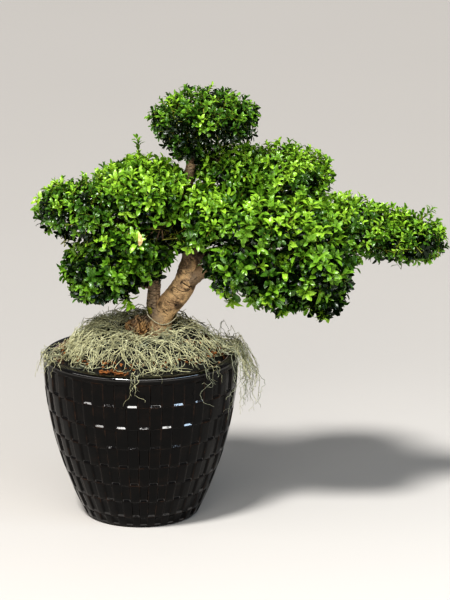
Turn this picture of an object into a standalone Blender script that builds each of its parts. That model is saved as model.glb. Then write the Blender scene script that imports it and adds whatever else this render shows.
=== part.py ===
"""A Japanese holly clipped into clouds, leaning out of a black glazed pot that is dressed with curly moss.

Run it with blender --background --python part.py, or from Blender's text editor.
Metres, +Z up. The origin is the centre of the pot's flat underside, -Y is the front, and the long arm
reaches to +X. Two pieces that touch are GAP apart.
"""

import math
import random
from typing import NamedTuple

import bmesh
import bpy
from mathutils import Vector, noise

GAP = 0.0003
SEED = 43
UPRIGHT = Vector((0.0, 0.0, 1.0))
GOLDEN_ANGLE = math.pi * (3 - math.sqrt(5))

# Pot
POT_HEIGHT = 0.305
RIM_RADIUS = 0.180
FOOT_RADIUS = 0.104
FOOT_BEVEL = 0.004
POT_WALL = 0.011
POT_FLOOR = 0.018
LIP_ROUND = 0.0055
LIP_STEPS = 2
INNER_LEVELS = (0.240, 0.150, 0.070)
POT_SMOOTHING = 28.0  # degrees that an edge turns before it is shaded sharp

# Relief of the pot: a chequer of sunk tiles whose rows shrink towards the foot
TILES_AROUND = 52
TILE_TURN = math.radians(-97.0)
FIRST_ROW_TOP = 0.293
FIRST_ROW_HEIGHT = 0.0435
ROW_SHRINK = 0.96
TILE_DEPTH = 0.0026
TILE_SLOPE = 0.0020

# Potting mix: flat where the trunk stands, then falling to the wall
SOIL_TOP = 0.310
SOIL_FLAT_RADIUS = 0.106
SOIL_SHOULDER = (0.140, 0.298)
SOIL_EDGE_HEIGHT = 0.285

# Moss on the mix: (share of the edge radius, thickness) of each ring of the cushion
MOSS_EDGE_RADIUS = 0.158
MOSS_FORWARD = 0.006  # how far its edge lies to the front, where it reaches the lip
MOSS_SEGMENTS = 24
MOSS_RINGS = ((1.0, 0.005), (0.97, 0.011), (0.88, 0.024), (0.74, 0.034), (0.52, 0.040), (0.28, 0.043))
MOSS_CLEARANCE = 0.0012
MOSS_LUMP = 0.007
MOSS_LUMP_SIZE = 0.040
MOSS_TILT = 0.045  # it rises towards the back
MOSS_SMOOTHING = 60.0

# Root flare and burr of the trunk
FLARE_TOP = 0.380
FLARE_LOBES = ((3, 0.10, 0.6), (5, 0.07, 2.1))  # how often, how deep and from which angle the flare swells
FLARE_STRETCH = 0.25  # how much further it runs to the sides than to the front and back
BURR_CENTRE = (-0.003, 0.010, 0.337)
BURR_RADII = (0.025, 0.027, 0.026)
BURR_LUMP = 0.30

# Foliage: a core with shoots standing out of it
CORE_INSET = 0.008  # from a lobe's surface, which the leaf tips reach, to the core's
CORE_LUMP = 0.006
CORE_SEGMENTS = 8
CORE_RINGS = 6
CORE_SPACE = 0.004  # how much nearer a point of the core is to its own mass than to another
CORE_CLEARANCE = 0.004  # from a core to a limb
CORE_SMOOTHING = 42.0  # degrees: a core is shaded round, and a leaf keeps its ridge
STEM_SIDES = 6
STEM_REACH = 0.6  # how far the feeding stem runs on towards the lobe's centre

SHOOT_SPACING = 0.073
SHOOT_JITTER = 0.30
SHOOT_RISE = 0.35  # how much a shoot turns upwards
SHOOT_ROOT = 0.009  # sunk into the core
SHOOT_DEPTH = 0.025  # no shoot grows where the core is held back further than this
SHOOT_FOOT = 0.002  # from the core to the first leaf
SHOOT_LENGTH = 0.010  # from the core to the last leaf
SHOOT_LEAVES = 4
LOWEST_FACING = -0.75  # no shoot grows where the surface faces further down than this
LEAF_SPACE = 0.002
LEAF_APART = 0.011  # between the tips and middles of two shoots' leaves
LEAF_OVERSHOOT = 0.009
LIMB_CLEARANCE = 0.003
TWIG_SIDES = 3
TWIG_RADIUS = 0.0019

LEAF_LENGTH = 0.034
LEAF_WIDTH = 0.020
LEAF_THICKNESS = 0.0014
LEAF_WIDEST = 0.56
LEAF_ARCH = 0.09
LEAF_ANGLES = (1.30, 1.05)  # from the twig, at its foot and its end
LAST_LEAF_ANGLE = 0.85
LEAF_TRIES = ((0.0, 1.0), (0.22, 1.0), (0.10, 0.75))  # (more angle, share of the length), first to last
SPRIG_LEAF_SHARE = 0.65  # of the length of the other leaves

# Colours and finishes: (base colour, roughness, metallic)
FINISHES = {
    "glaze": ((0.012, 0.010, 0.009), 0.12, 0.0),
    "potting_mix": ((0.110, 0.055, 0.025), 0.95, 0.0),
    "bark": ((0.300, 0.190, 0.100), 0.85, 0.0),
    "foliage": ((0.060, 0.190, 0.020), 0.40, 0.0),
    "moss": ((0.420, 0.440, 0.300), 0.90, 0.0),
}


class Limb(NamedTuple):
    """A tapering limb through (x, y, z, radius) points, cut clear of the limbs that it grows from."""

    name: str
    parents: tuple
    sides: int
    points: tuple


class Lobe(NamedTuple):
    """An ellipsoid that the leaf tips of a mass reach: its centre and its half sizes."""

    x: float
    y: float
    z: float
    wide: float
    deep: float
    high: float


class Mass(NamedTuple):
    """A mass of foliage in one or more lobes. Its stem takes over from the tip of the feeder."""

    name: str
    feeder: str
    lobes: tuple


class Sprig(NamedTuple):
    """A shoot that stands clear of its mass, from a root in the core to its tip, bare for a share of it."""

    mass: str
    root: tuple
    tip: tuple
    bare: float


class Fall(NamedTuple):
    """Moss that hangs over the rim, centred on an angle, through (radius, height, thickness) stations."""

    name: str
    facing: float
    span: float
    short_share: float
    route: tuple


LIMBS = (
    Limb("trunk", (), 14, (
        (0.024, 0.022, 0.3103, 0.0400),
        (0.028, 0.021, 0.3350, 0.0310),
        (0.034, 0.020, 0.3580, 0.0240),
        (0.045, 0.019, 0.3860, 0.0200),
        (0.063, 0.018, 0.4100, 0.0185),
        (0.080, 0.016, 0.4370, 0.0178),
        (0.088, 0.015, 0.4630, 0.0165),
        (0.090, 0.015, 0.4830, 0.0120),
    )),
    Limb("left_stem", ("trunk",), 10, (
        (0.040, 0.018, 0.3560, 0.0140),
        (0.025, 0.017, 0.3860, 0.0130),
        (0.0245, 0.017, 0.4130, 0.0120),
        (0.026, 0.016, 0.4350, 0.0112),
        (0.022, 0.010, 0.4520, 0.0100),
    )),
    Limb("leader", ("trunk",), 10, (
        (0.089, 0.015, 0.4660, 0.0135),
        (0.091, 0.016, 0.5000, 0.0142),
        (0.088, 0.018, 0.5450, 0.0125),
        (0.086, 0.020, 0.5900, 0.0110),
        (0.090, 0.023, 0.6300, 0.0095),
        (0.094, 0.026, 0.6560, 0.0085),
    )),
    Limb("right_bough", ("trunk", "leader"), 8, (
        (0.084, 0.013, 0.4420, 0.0125),
        (0.110, 0.006, 0.4560, 0.0118),
        (0.132, -0.006, 0.4680, 0.0105),
        (0.148, -0.018, 0.4780, 0.0095),
    )),
    Limb("arm_bough", ("trunk", "leader", "right_bough"), 8, (
        (0.090, 0.019, 0.4740, 0.0110),
        (0.130, 0.034, 0.4840, 0.0108),
        (0.190, 0.048, 0.4960, 0.0098),
        (0.270, 0.046, 0.5020, 0.0086),
        (0.350, 0.026, 0.5000, 0.0074),
    )),
    Limb("front_upper_bough", ("leader", "arm_bough"), 8, (
        (0.090, 0.017, 0.5150, 0.0085),
        (0.113, 0.000, 0.5260, 0.0080),
        (0.140, -0.018, 0.5360, 0.0070),
    )),
    Limb("upper_right_bough", ("leader",), 8, (
        (0.087, 0.021, 0.5980, 0.0080),
        (0.106, 0.029, 0.6080, 0.0076),
        (0.124, 0.035, 0.6160, 0.0066),
    )),
    Limb("hump_bough", ("leader",), 8, (
        (0.087, 0.018, 0.5540, 0.0085),
        (0.072, 0.012, 0.5660, 0.0078),
        (0.058, 0.008, 0.5760, 0.0068),
    )),
    Limb("left_tip_bough", ("leader",), 8, (
        (0.091, 0.014, 0.5060, 0.0100),
        (0.060, 0.020, 0.5280, 0.0094),
        (0.010, 0.022, 0.5420, 0.0082),
        (-0.044, 0.006, 0.5520, 0.0068),
    )),
    Limb("low_left_bough", ("left_stem",), 8, (
        (0.025, 0.017, 0.4260, 0.0070),
        (-0.002, 0.008, 0.4330, 0.0062),
        (-0.034, -0.004, 0.4360, 0.0052),
    )),
    Limb("back_left_bough", ("leader",), 8, (
        (0.086, 0.020, 0.5740, 0.0080),
        (0.070, 0.046, 0.5860, 0.0074),
        (0.052, 0.068, 0.5930, 0.0064),
    )),
    Limb("back_middle_bough", ("leader",), 8, (
        (0.090, 0.017, 0.5050, 0.0080),
        (0.089, 0.036, 0.5120, 0.0074),
        (0.087, 0.056, 0.5180, 0.0066),
    )),
    Limb("back_right_bough", ("leader",), 8, (
        (0.088, 0.018, 0.5400, 0.0085),
        (0.112, 0.056, 0.5480, 0.0080),
        (0.142, 0.094, 0.5510, 0.0070),
    )),
)
LIMB_STEPS = 2  # rings from one named point to the next
LIMB_SMOOTHING = 50.0

MASSES = (
    Mass("top_dome", "leader", (
        Lobe(0.118, 0.030, 0.739, 0.104, 0.092, 0.062),
        Lobe(0.090, 0.026, 0.692, 0.044, 0.046, 0.034),
    )),
    Mass("upper_right_cloud", "upper_right_bough", (
        Lobe(0.264, 0.075, 0.626, 0.094, 0.084, 0.062),
        Lobe(0.160, 0.040, 0.646, 0.072, 0.072, 0.053),
    )),
    Mass("left_hump_cloud", "hump_bough", (
        Lobe(0.004, -0.004, 0.608, 0.092, 0.088, 0.066),
        Lobe(0.040, -0.030, 0.548, 0.070, 0.050, 0.044),
    )),
    Mass("left_tip_cloud", "left_tip_bough", (
        Lobe(-0.108, -0.018, 0.582, 0.086, 0.080, 0.062),
    )),
    Mass("lower_left_cloud", "left_stem", (
        Lobe(0.010, -0.006, 0.488, 0.050, 0.060, 0.044),
        Lobe(-0.060, -0.022, 0.474, 0.086, 0.076, 0.056),
        Lobe(-0.030, -0.034, 0.526, 0.076, 0.060, 0.042),
        Lobe(-0.076, -0.034, 0.440, 0.048, 0.048, 0.038),
    )),
    Mass("front_upper_cloud", "front_upper_bough", (
        Lobe(0.228, -0.050, 0.560, 0.138, 0.084, 0.060),
        Lobe(0.120, -0.034, 0.582, 0.056, 0.060, 0.052),
        Lobe(0.100, -0.044, 0.542, 0.050, 0.044, 0.040),
    )),
    Mass("front_lower_cloud", "right_bough", (
        Lobe(0.184, -0.064, 0.490, 0.068, 0.074, 0.066),
        Lobe(0.318, -0.052, 0.488, 0.074, 0.082, 0.076),
        Lobe(0.252, -0.062, 0.454, 0.060, 0.060, 0.060),
        Lobe(0.336, -0.056, 0.432, 0.044, 0.048, 0.046),
    )),
    Mass("right_arm_cloud", "arm_bough", (
        Lobe(0.414, 0.018, 0.530, 0.090, 0.072, 0.060),
        Lobe(0.504, 0.022, 0.514, 0.062, 0.060, 0.052),
        Lobe(0.368, 0.012, 0.552, 0.054, 0.064, 0.048),
    )),
    Mass("back_left_cloud", "back_left_bough", (
        Lobe(-0.004, 0.118, 0.600, 0.092, 0.080, 0.054),
    )),
    Mass("back_middle_cloud", "back_middle_bough", (
        Lobe(0.080, 0.108, 0.528, 0.076, 0.062, 0.070),
    )),
    Mass("back_right_cloud", "back_right_bough", (
        Lobe(0.236, 0.150, 0.552, 0.122, 0.086, 0.058),
    )),
)

SPRIGS = (
    Sprig("back_left_cloud", (0.000, 0.100, 0.625), (-0.007, 0.090, 0.697), 0.45),
    Sprig("right_arm_cloud", (0.500, 0.022, 0.540), (0.541, 0.020, 0.576), 0.35),
    Sprig("right_arm_cloud", (0.528, 0.020, 0.515), (0.548, 0.020, 0.555), 0.35),
    Sprig("top_dome", (0.055, 0.030, 0.735), (0.011, 0.030, 0.742), 0.35),
    Sprig("lower_left_cloud", (-0.077, -0.036, 0.445), (-0.083, -0.040, 0.408), 0.30),
    Sprig("lower_left_cloud", (-0.040, -0.036, 0.462), (-0.011, -0.044, 0.408), 0.30),
    Sprig("front_lower_cloud", (0.182, -0.066, 0.455), (0.168, -0.076, 0.412), 0.30),
    Sprig("front_lower_cloud", (0.262, -0.064, 0.435), (0.267, -0.070, 0.393), 0.30),
    Sprig("front_lower_cloud", (0.336, -0.058, 0.425), (0.338, -0.064, 0.387), 0.30),
)

FALLS = (
    Fall("moss_fall_right", math.radians(-2.0), 0.118, 0.70, (
        (0.147, 0.336, 0.008),
        (0.161, 0.322, 0.016),
        (0.176, 0.316, 0.018),
        (0.191, 0.307, 0.020),
        (0.197, 0.284, 0.026),
        (0.198, 0.250, 0.030),
        (0.198, 0.218, 0.028),
        (0.200, 0.186, 0.020),
        (0.204, 0.150, 0.006),
    )),
    Fall("moss_fall_left", math.radians(198.0), 0.076, 0.80, (
        (0.150, 0.330, 0.006),
        (0.163, 0.316, 0.010),
        (0.176, 0.3115, 0.009),
        (0.186, 0.305, 0.009),
        (0.188, 0.286, 0.010),
        (0.189, 0.264, 0.008),
        (0.191, 0.242, 0.004),
    )),
)
FALL_COLUMNS = 6
FALL_HELD = 4  # the last station over the rim, which every column of a fall reaches


def clear_scene():
    """Removes every object, so that only the model is left."""
    for obj in list(bpy.data.objects):
        bpy.data.objects.remove(obj)


def material_of(name):
    """The Principled material of that finish, made once."""
    found = bpy.data.materials.get(name)
    if found:
        return found
    colour, roughness, metallic = FINISHES[name]
    made = bpy.data.materials.new(name)
    made.use_nodes = True
    shader = made.node_tree.nodes["Principled BSDF"]
    shader.inputs["Base Color"].default_value = (*colour, 1.0)
    shader.inputs["Roughness"].default_value = roughness
    shader.inputs["Metallic"].default_value = metallic
    made.diffuse_color = (*colour, 1.0)
    return made


def object_of(name, bm, finish=None):
    """Links the bmesh as an object with outward normals."""
    bmesh.ops.recalc_face_normals(bm, faces=bm.faces)
    mesh = bpy.data.meshes.new(name)
    bm.to_mesh(mesh)
    bm.free()
    obj = bpy.data.objects.new(name, mesh)
    bpy.context.scene.collection.objects.link(obj)
    if finish:
        mesh.materials.append(material_of(finish))
    return obj


def as_helper(obj):
    """Marks a cutter, which isn't part of the model."""
    obj.hide_render = True
    obj.display_type = "WIRE"
    return obj


def shade(obj, degrees):
    """Smooth shading, with sharp edges where faces turn by more than the angle."""
    obj.data.shade_smooth()
    obj.data.set_sharp_from_angle(angle=math.radians(degrees))


def boolean(obj, operation, operand, solver="EXACT"):
    """Adds a Boolean modifier with an object or a collection."""
    modifier = obj.modifiers.new(operation.lower(), "BOOLEAN")
    modifier.operation = operation
    modifier.solver = solver
    if isinstance(operand, bpy.types.Collection):
        modifier.operand_type = "COLLECTION"
        modifier.collection = operand
    else:
        modifier.object = operand


def apply_modifiers(obj):
    """Keeps the evaluated mesh and drops the modifiers."""
    bpy.context.view_layer.update()
    graph = bpy.context.evaluated_depsgraph_get()
    mesh = bpy.data.meshes.new_from_object(obj.evaluated_get(graph))
    obj.modifiers.clear()
    obj.data = mesh


def keep_largest_body(obj):
    """Drops loose scraps and sealed hollows."""
    bm = bmesh.new()
    bm.from_mesh(obj.data)
    left = set(bm.faces)
    bodies = []
    while left:
        body = [left.pop()]
        for face in body:
            for other in {near for edge in face.edges for near in edge.link_faces} & left:
                left.remove(other)
                body.append(other)
        bodies.append(body)
    bodies.sort(key=len, reverse=True)
    bmesh.ops.delete(bm, geom=[face for body in bodies[1:] for face in body], context="FACES")
    bm.to_mesh(obj.data)
    bm.free()


# Turned pieces


def add_ring(bm, radius, height, segments, turn=0.0):
    """A closed ring of vertices about the Z axis."""
    angles = [turn + 2 * math.pi * k / segments for k in range(segments)]
    return [bm.verts.new((radius * math.cos(a), radius * math.sin(a), height)) for a in angles]


def join_rings(bm, low, high):
    """The quads between two rings of as many vertices."""
    count = len(low)
    pairs = [(k, (k + 1) % count) for k in range(count)]
    return [bm.faces.new((low[a], low[b], high[b], high[a])) for a, b in pairs]


def skin(bm, rings):
    """Joins rings one to the next, caps both ends, and returns the faces of each band."""
    bands = [join_rings(bm, low, high) for low, high in zip(rings, rings[1:])]
    bm.faces.new(rings[0])
    bm.faces.new(rings[-1])
    return bands


def pot_radius(height):
    """Outer radius of the pot: a parabola that stands upright at the rim."""
    fall = 1 - height / POT_HEIGHT
    return RIM_RADIUS - (RIM_RADIUS - FOOT_RADIUS) * fall * fall


def row_heights():
    """Heights between the rows of tiles, from the lowest up."""
    heights = [FIRST_ROW_TOP]
    row = FIRST_ROW_HEIGHT
    while heights[-1] - row > FOOT_BEVEL:
        heights.append(heights[-1] - row)
        row *= ROW_SHRINK
    return [FOOT_BEVEL] + heights[::-1]


def inner_profile(clearance, levels):
    """(radius, height) points on the inside of the wall, at the levels given."""
    return [(pot_radius(z) - POT_WALL - clearance, z) for z in levels]


def lip_profile():
    """(radius, height) points over the rounded lip, from the outside in."""
    middle = RIM_RADIUS - POT_WALL / 2
    angles = [math.pi * k / (2 * LIP_STEPS) for k in range(2 * LIP_STEPS + 1)]
    base = POT_HEIGHT - LIP_ROUND
    return [(middle + POT_WALL / 2 * math.cos(a), base + LIP_ROUND * math.sin(a)) for a in angles]


def make_pot():
    """The pot, with every other tile of its chequer sunk."""
    rows = row_heights()
    outside = [(FOOT_RADIUS - FOOT_BEVEL, 0.0)] + [(pot_radius(z), z) for z in rows]
    profile = outside + lip_profile() + inner_profile(0.0, (*INNER_LEVELS, POT_FLOOR))
    bm = bmesh.new()
    bands = skin(bm, [add_ring(bm, radius, z, TILES_AROUND, TILE_TURN) for radius, z in profile])
    tiled = bands[len(rows) - 1 : 0 : -1]
    sunk = [face for row, band in enumerate(tiled) for face in band[row % 2 :: 2]]
    bmesh.ops.recalc_face_normals(bm, faces=bm.faces)
    bmesh.ops.inset_individual(bm, faces=sunk, thickness=TILE_SLOPE, depth=-TILE_DEPTH)
    shade(object_of("pot", bm, "glaze"), POT_SMOOTHING)


def make_soil():
    """The potting mix, which fills the pot and is flat under the trunk."""
    levels = (POT_FLOOR + GAP, *INNER_LEVELS[::-1], SOIL_EDGE_HEIGHT)
    profile = inner_profile(2 * GAP, levels) + [SOIL_SHOULDER, (SOIL_FLAT_RADIUS, SOIL_TOP)]
    bm = bmesh.new()
    skin(bm, [add_ring(bm, radius, z, TILES_AROUND // 2, TILE_TURN) for radius, z in profile])
    object_of("potting_mix", bm, "potting_mix")


def soil_height(radius):
    """The top of the potting mix at that distance from the axis."""
    edge = (RIM_RADIUS - POT_WALL, SOIL_EDGE_HEIGHT)
    corners = [(0.0, SOIL_TOP), (SOIL_FLAT_RADIUS, SOIL_TOP), SOIL_SHOULDER, edge]
    for (r0, z0), (r1, z1) in zip(corners, corners[1:]):
        if radius <= r1:
            return z0 + (z1 - z0) * (radius - r0) / (r1 - r0)
    return SOIL_EDGE_HEIGHT


# Limbs


def smooth_route(points, steps):
    """(place, radius) along a Catmull-Rom curve through (x, y, z, radius) points."""
    padded = [points[0], *points, points[-1]]
    route = []
    for span in zip(padded, padded[1:], padded[2:], padded[3:]):
        for k in range(steps):
            t = k / steps
            route.append([
                b + t * (c - a + t * (2 * a - 5 * b + 4 * c - d + t * (3 * b - a - 3 * c + d))) / 2
                for a, b, c, d in zip(*span)
            ])
    route.append(list(points[-1]))
    return [(Vector(p[:3]), p[3]) for p in route]


def frames_along(places, first_axis=None):
    """(tangent, side, up) at each place, carried along with no twist."""
    frames = []
    side = Vector((0.0, 1.0, 0.0))
    for k in range(len(places)):
        tangent = (places[min(k + 1, len(places) - 1)] - places[max(k - 1, 0)]).normalized()
        if k == 0 and first_axis:
            tangent = first_axis
        side = (side - tangent * side.dot(tangent)).normalized()
        frames.append((tangent, side, tangent.cross(side)))
    return frames


def flare_at(angle, height):
    """How much the root flare swells the trunk towards the angle, at the height."""
    share = max(0.0, (FLARE_TOP - height) / (FLARE_TOP - SOIL_TOP)) ** 2
    lobes = sum(depth * math.cos(count * angle + phase) for count, depth, phase in FLARE_LOBES)
    return 1 + share * (lobes + FLARE_STRETCH * math.cos(angle) ** 2)


def limb_solid(name, points, sides, first_axis=None):
    """A tapering limb along its named points. Only the trunk has a root flare."""
    route = smooth_route(points, LIMB_STEPS)
    flared = name == "trunk"
    frames = frames_along([place for place, _ in route], UPRIGHT if flared else first_axis)
    bm = bmesh.new()
    rings = []
    for (place, radius), (_, side, up) in zip(route, frames):
        ring = []
        for s in range(sides):
            angle = 2 * math.pi * s / sides
            spoke = up * math.cos(angle) + side * math.sin(angle)
            swell = flare_at(math.atan2(spoke.y, spoke.x), place.z) if flared else 1.0
            ring.append(bm.verts.new(place + spoke * radius * swell))
        rings.append(ring)
    skin(bm, rings)
    bmesh.ops.triangulate(bm, faces=bm.faces)
    return object_of(name, bm)


def burr_solid():
    """The lumpy burr at the left of the trunk's foot, flat where it meets the potting mix."""
    bm = bmesh.new()
    bmesh.ops.create_icosphere(bm, subdivisions=2, radius=1.0)
    for vertex in bm.verts:
        direction = vertex.co.normalized()
        lump = 1 + BURR_LUMP * noise.noise(direction * 1.9)
        vertex.co = Vector(BURR_CENTRE) + direction * Vector(BURR_RADII) * lump
        vertex.co.z = max(vertex.co.z, SOIL_TOP + GAP)
    return as_helper(object_of("burr", bm))


def thicker_cutter(obj):
    """A helper with the object's shape, GAP thicker all round."""
    bm = bmesh.new()
    bm.from_mesh(obj.data)
    bmesh.ops.triangulate(bm, faces=bm.faces)
    bm.normal_update()
    moves = [(vertex, vertex.normal * GAP * min(vertex.calc_shell_factor(), 2.0)) for vertex in bm.verts]
    for vertex, move in moves:
        vertex.co += move
    return as_helper(object_of(f"{obj.name}_cutter", bm))


def make_limbs():
    """Every limb, cut clear of the ones that it grows from. Returns a thicker cutter of each by name."""
    cutters = {}
    for limb in LIMBS:
        obj = limb_solid(limb.name, limb.points, limb.sides)
        if limb.name == "trunk":
            boolean(obj, "UNION", burr_solid())
            apply_modifiers(obj)
        obj.data.materials.append(material_of("bark"))
        cutters[limb.name] = thicker_cutter(obj)
        for parent in limb.parents:
            boolean(obj, "DIFFERENCE", cutters[parent])
        shade(obj, LIMB_SMOOTHING)
    return cutters


# The space of each mass


def depth_in(lobe, point):
    """About how far the point is outside the lobe's surface, and less than 0 inside."""
    radii = lobe[3:]
    offset = [(point[k] - lobe[k]) / radii[k] for k in range(3)]
    share = math.hypot(*offset)
    slope = math.hypot(*[offset[k] / radii[k] for k in range(3)])
    return share * (share - 1) / slope if slope > 1e-6 else -min(radii)


def depth_of(mass, point):
    """About how far the point is outside the nearest of the mass's lobes."""
    return min(depth_in(lobe, point) for lobe in mass.lobes)


LIMB_PLACES = [place for limb in LIMBS for place in smooth_route(limb.points, 5)]


def clears_limbs(point, clearance):
    """True if the point is that far outside every limb."""
    return all((point - place).length > radius + clearance for place, radius in LIMB_PLACES)


def nearest_other(mass, point):
    """About how far the point is outside the nearest lobe of any other mass."""
    return min(depth_of(other, point) for other in MASSES if other.name != mass.name)


def stays_inside(mass, points):
    """True if a shoot's points keep to the mass's own space and clear of the limbs."""
    for point in points:
        if depth_of(mass, point) >= min(LEAF_OVERSHOOT, nearest_other(mass, point) - LEAF_SPACE):
            return False
    return all(clears_limbs(point, LIMB_CLEARANCE) for point in points)


def core_share(mass, lobe, direction):
    """How far along a direction the core reaches, as a share of the lobe."""
    centre, radii = Vector(lobe[:3]), Vector(lobe[3:])
    inset = CORE_INSET + CORE_LUMP * noise.noise(direction * 2.3 + centre * 17.0)
    share = 1.0
    while share > 0.1:
        share -= 0.02
        point = centre + direction * radii * share
        own = depth_in(lobe, point)
        if own > -inset or depth_of(mass, point) > nearest_other(mass, point) - CORE_SPACE:
            continue
        if clears_limbs(point, CORE_CLEARANCE):
            break
    return share


def core_solid(mass, lobe):
    """A lumpy ellipsoid inside one lobe, held back where another mass or a limb is near."""
    centre, radii = Vector(lobe[:3]), Vector(lobe[3:])
    bm = bmesh.new()
    bmesh.ops.create_uvsphere(bm, u_segments=CORE_SEGMENTS, v_segments=CORE_RINGS, radius=1.0)
    for vertex in bm.verts:
        direction = vertex.co.normalized()
        vertex.co = centre + direction * radii * core_share(mass, lobe, direction)
    bmesh.ops.triangulate(bm, faces=bm.faces)
    return object_of("core", bm)


# Shoots and leaves


def leaf_points(root, along, across, length):
    """The places of a leaf's left and right edge and ridge where it is widest, and of its tip."""
    normal = along.cross(across).normalized()
    middle = root + along * (length * LEAF_WIDEST) + normal * (LEAF_ARCH * length)
    half = across * (LEAF_WIDTH / LEAF_LENGTH * length / 2)
    return middle - half, middle + half, middle + normal * LEAF_THICKNESS, root + along * length


def add_leaf(bm, base, points):
    """Grows a leaf from three corners of a twig, as six faces to its widest points and three to its tip."""
    *girth, tip = [bm.verts.new(point) for point in points]
    for k in range(3):
        after = (k + 1) % 3
        bm.faces.new((base[k], base[after], girth[after]))
        bm.faces.new((base[k], girth[after], girth[k]))
        bm.faces.new((girth[k], girth[after], tip))


def shoot_solid(start, foot, end, leaf_length, turn, fits):
    """A three-sided twig with a spiral of leaves, or None where none of them fits.

    The twig is sunk from foot back to start. Each leaf grows from half of one side of the twig, the last
    from its end, and fits(points) says whether a leaf may have those points.
    """
    _, (tangent, side, up) = frames_along([start, end])
    stations = [start] + [foot.lerp(end, k / SHOOT_LEAVES) for k in range(SHOOT_LEAVES + 1)]
    angles = [turn + 2 * math.pi * s / TWIG_SIDES for s in range(TWIG_SIDES)]
    spokes = [side * math.cos(a) + up * math.sin(a) for a in angles]
    bm = bmesh.new()
    rings = [[bm.verts.new(station + spoke * TWIG_RADIUS) for spoke in spokes] for station in stations]
    join_rings(bm, rings[0], rings[1])
    bm.faces.new(rings[0])
    grown = 0
    for number, (low, high) in enumerate(zip(rings[1:], rings[2:])):
        share = number / SHOOT_LEAVES
        spread = LEAF_ANGLES[0] + (LEAF_ANGLES[1] - LEAF_ANGLES[0]) * share
        for s in range(TWIG_SIDES):
            after = (s + 1) % TWIG_SIDES
            bm.faces.new((low[s], high[after], high[s]))
            base = (low[s], low[after], high[after])
            across = (low[after].co - low[s].co).normalized()
            root = (low[s].co + low[after].co) / 2
            points = None
            if s == number % TWIG_SIDES:
                points = fitting_leaf(root, tangent, across, spread, leaf_length, fits)
            if points:
                add_leaf(bm, base, points)
                grown += 1
            else:
                bm.faces.new(base)
    points = fitting_leaf(end, tangent, side, LAST_LEAF_ANGLE, leaf_length, fits)
    if points:
        add_leaf(bm, rings[-1], points)
        grown += 1
    else:
        bm.faces.new(rings[-1])
    if grown:
        return object_of("shoot", bm)
    bm.free()
    return None


def fitting_leaf(root, tangent, across, spread, length, fits):
    """A leaf's points, bent lower or made shorter until it fits."""
    outward = tangent.cross(across)
    for more, share in LEAF_TRIES:
        along = tangent * math.cos(spread + more) - outward * math.sin(spread + more)
        points = leaf_points(root, along.normalized(), across, length * share)
        if fits(points):
            return points
    return None


def surface_directions(lobe, rng):
    """Unit directions spread evenly over a lobe by the golden angle, each moved a little."""
    mean = (lobe.wide * lobe.deep + lobe.wide * lobe.high + lobe.deep * lobe.high) / 3
    count = round(4 * math.pi * mean / SHOOT_SPACING**2)
    turn = rng.uniform(0, 2 * math.pi)
    for k in range(count):
        height = 1 - 2 * (k + 0.5) / count
        angle = turn + k * GOLDEN_ANGLE
        flat = math.sqrt(1 - height * height)
        jitter = Vector([rng.uniform(-1, 1) for _ in range(3)]) * (SHOOT_JITTER / math.sqrt(count))
        yield (Vector((flat * math.cos(angle), flat * math.sin(angle), height)) + jitter).normalized()


def grow_shoot(mass, lobe, direction, turn, taken):
    """One shoot on the core, or None where it would leave its space. Adds its leaves' points to taken."""
    centre, radii = Vector(lobe[:3]), Vector(lobe[3:])
    seat = centre + direction * radii * core_share(mass, lobe, direction)
    outward = Vector([direction[k] / radii[k] for k in range(3)]).normalized()
    buried = any(other != lobe and depth_in(other, seat) < -CORE_INSET for other in mass.lobes)
    if buried or outward.z < LOWEST_FACING or depth_in(lobe, seat) < -SHOOT_DEPTH:
        return None
    heading = (outward + UPRIGHT * SHOOT_RISE).normalized()
    reached = []

    def fits(points):
        crowded = any((p - q).length < LEAF_APART for p in points for q in taken)
        if crowded or not stays_inside(mass, points):
            return False
        reached.extend(points)
        return True

    foot, end = seat + heading * SHOOT_FOOT, seat + heading * SHOOT_LENGTH
    if not stays_inside(mass, [seat, end]):
        return None
    shoot = shoot_solid(seat - outward * SHOOT_ROOT, foot, end, LEAF_LENGTH, turn, fits)
    taken += reached
    return shoot


def grow_sprig(sprig):
    """A longer shoot with smaller leaves, which stands clear of its mass."""
    start, tip = Vector(sprig.root), Vector(sprig.tip)
    length = LEAF_LENGTH * SPRIG_LEAF_SHARE
    end = tip.lerp(start, length * SPRIG_LEAF_SHARE / (tip - start).length)
    return shoot_solid(start, start.lerp(end, sprig.bare), end, length, 0.0, lambda points: True)


def feeding_stem(mass):
    """The stem that takes over from the feeder's tip, just clear of it, and runs into the core."""
    points = next(limb.points for limb in LIMBS if limb.name == mass.feeder)
    route = smooth_route(points, LIMB_STEPS)
    tip, radius = route[-1]
    heading = (tip - route[-2][0]).normalized()
    start = tip + heading * GAP
    end = start.lerp(Vector(mass.lobes[0][:3]), STEM_REACH)
    knee = start + heading * (0.35 * (end - start).length)
    named = [(*start, radius), (*knee, radius * 0.9), (*end, radius * 0.6)]
    return limb_solid("stem", named, STEM_SIDES, first_axis=heading)


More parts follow.
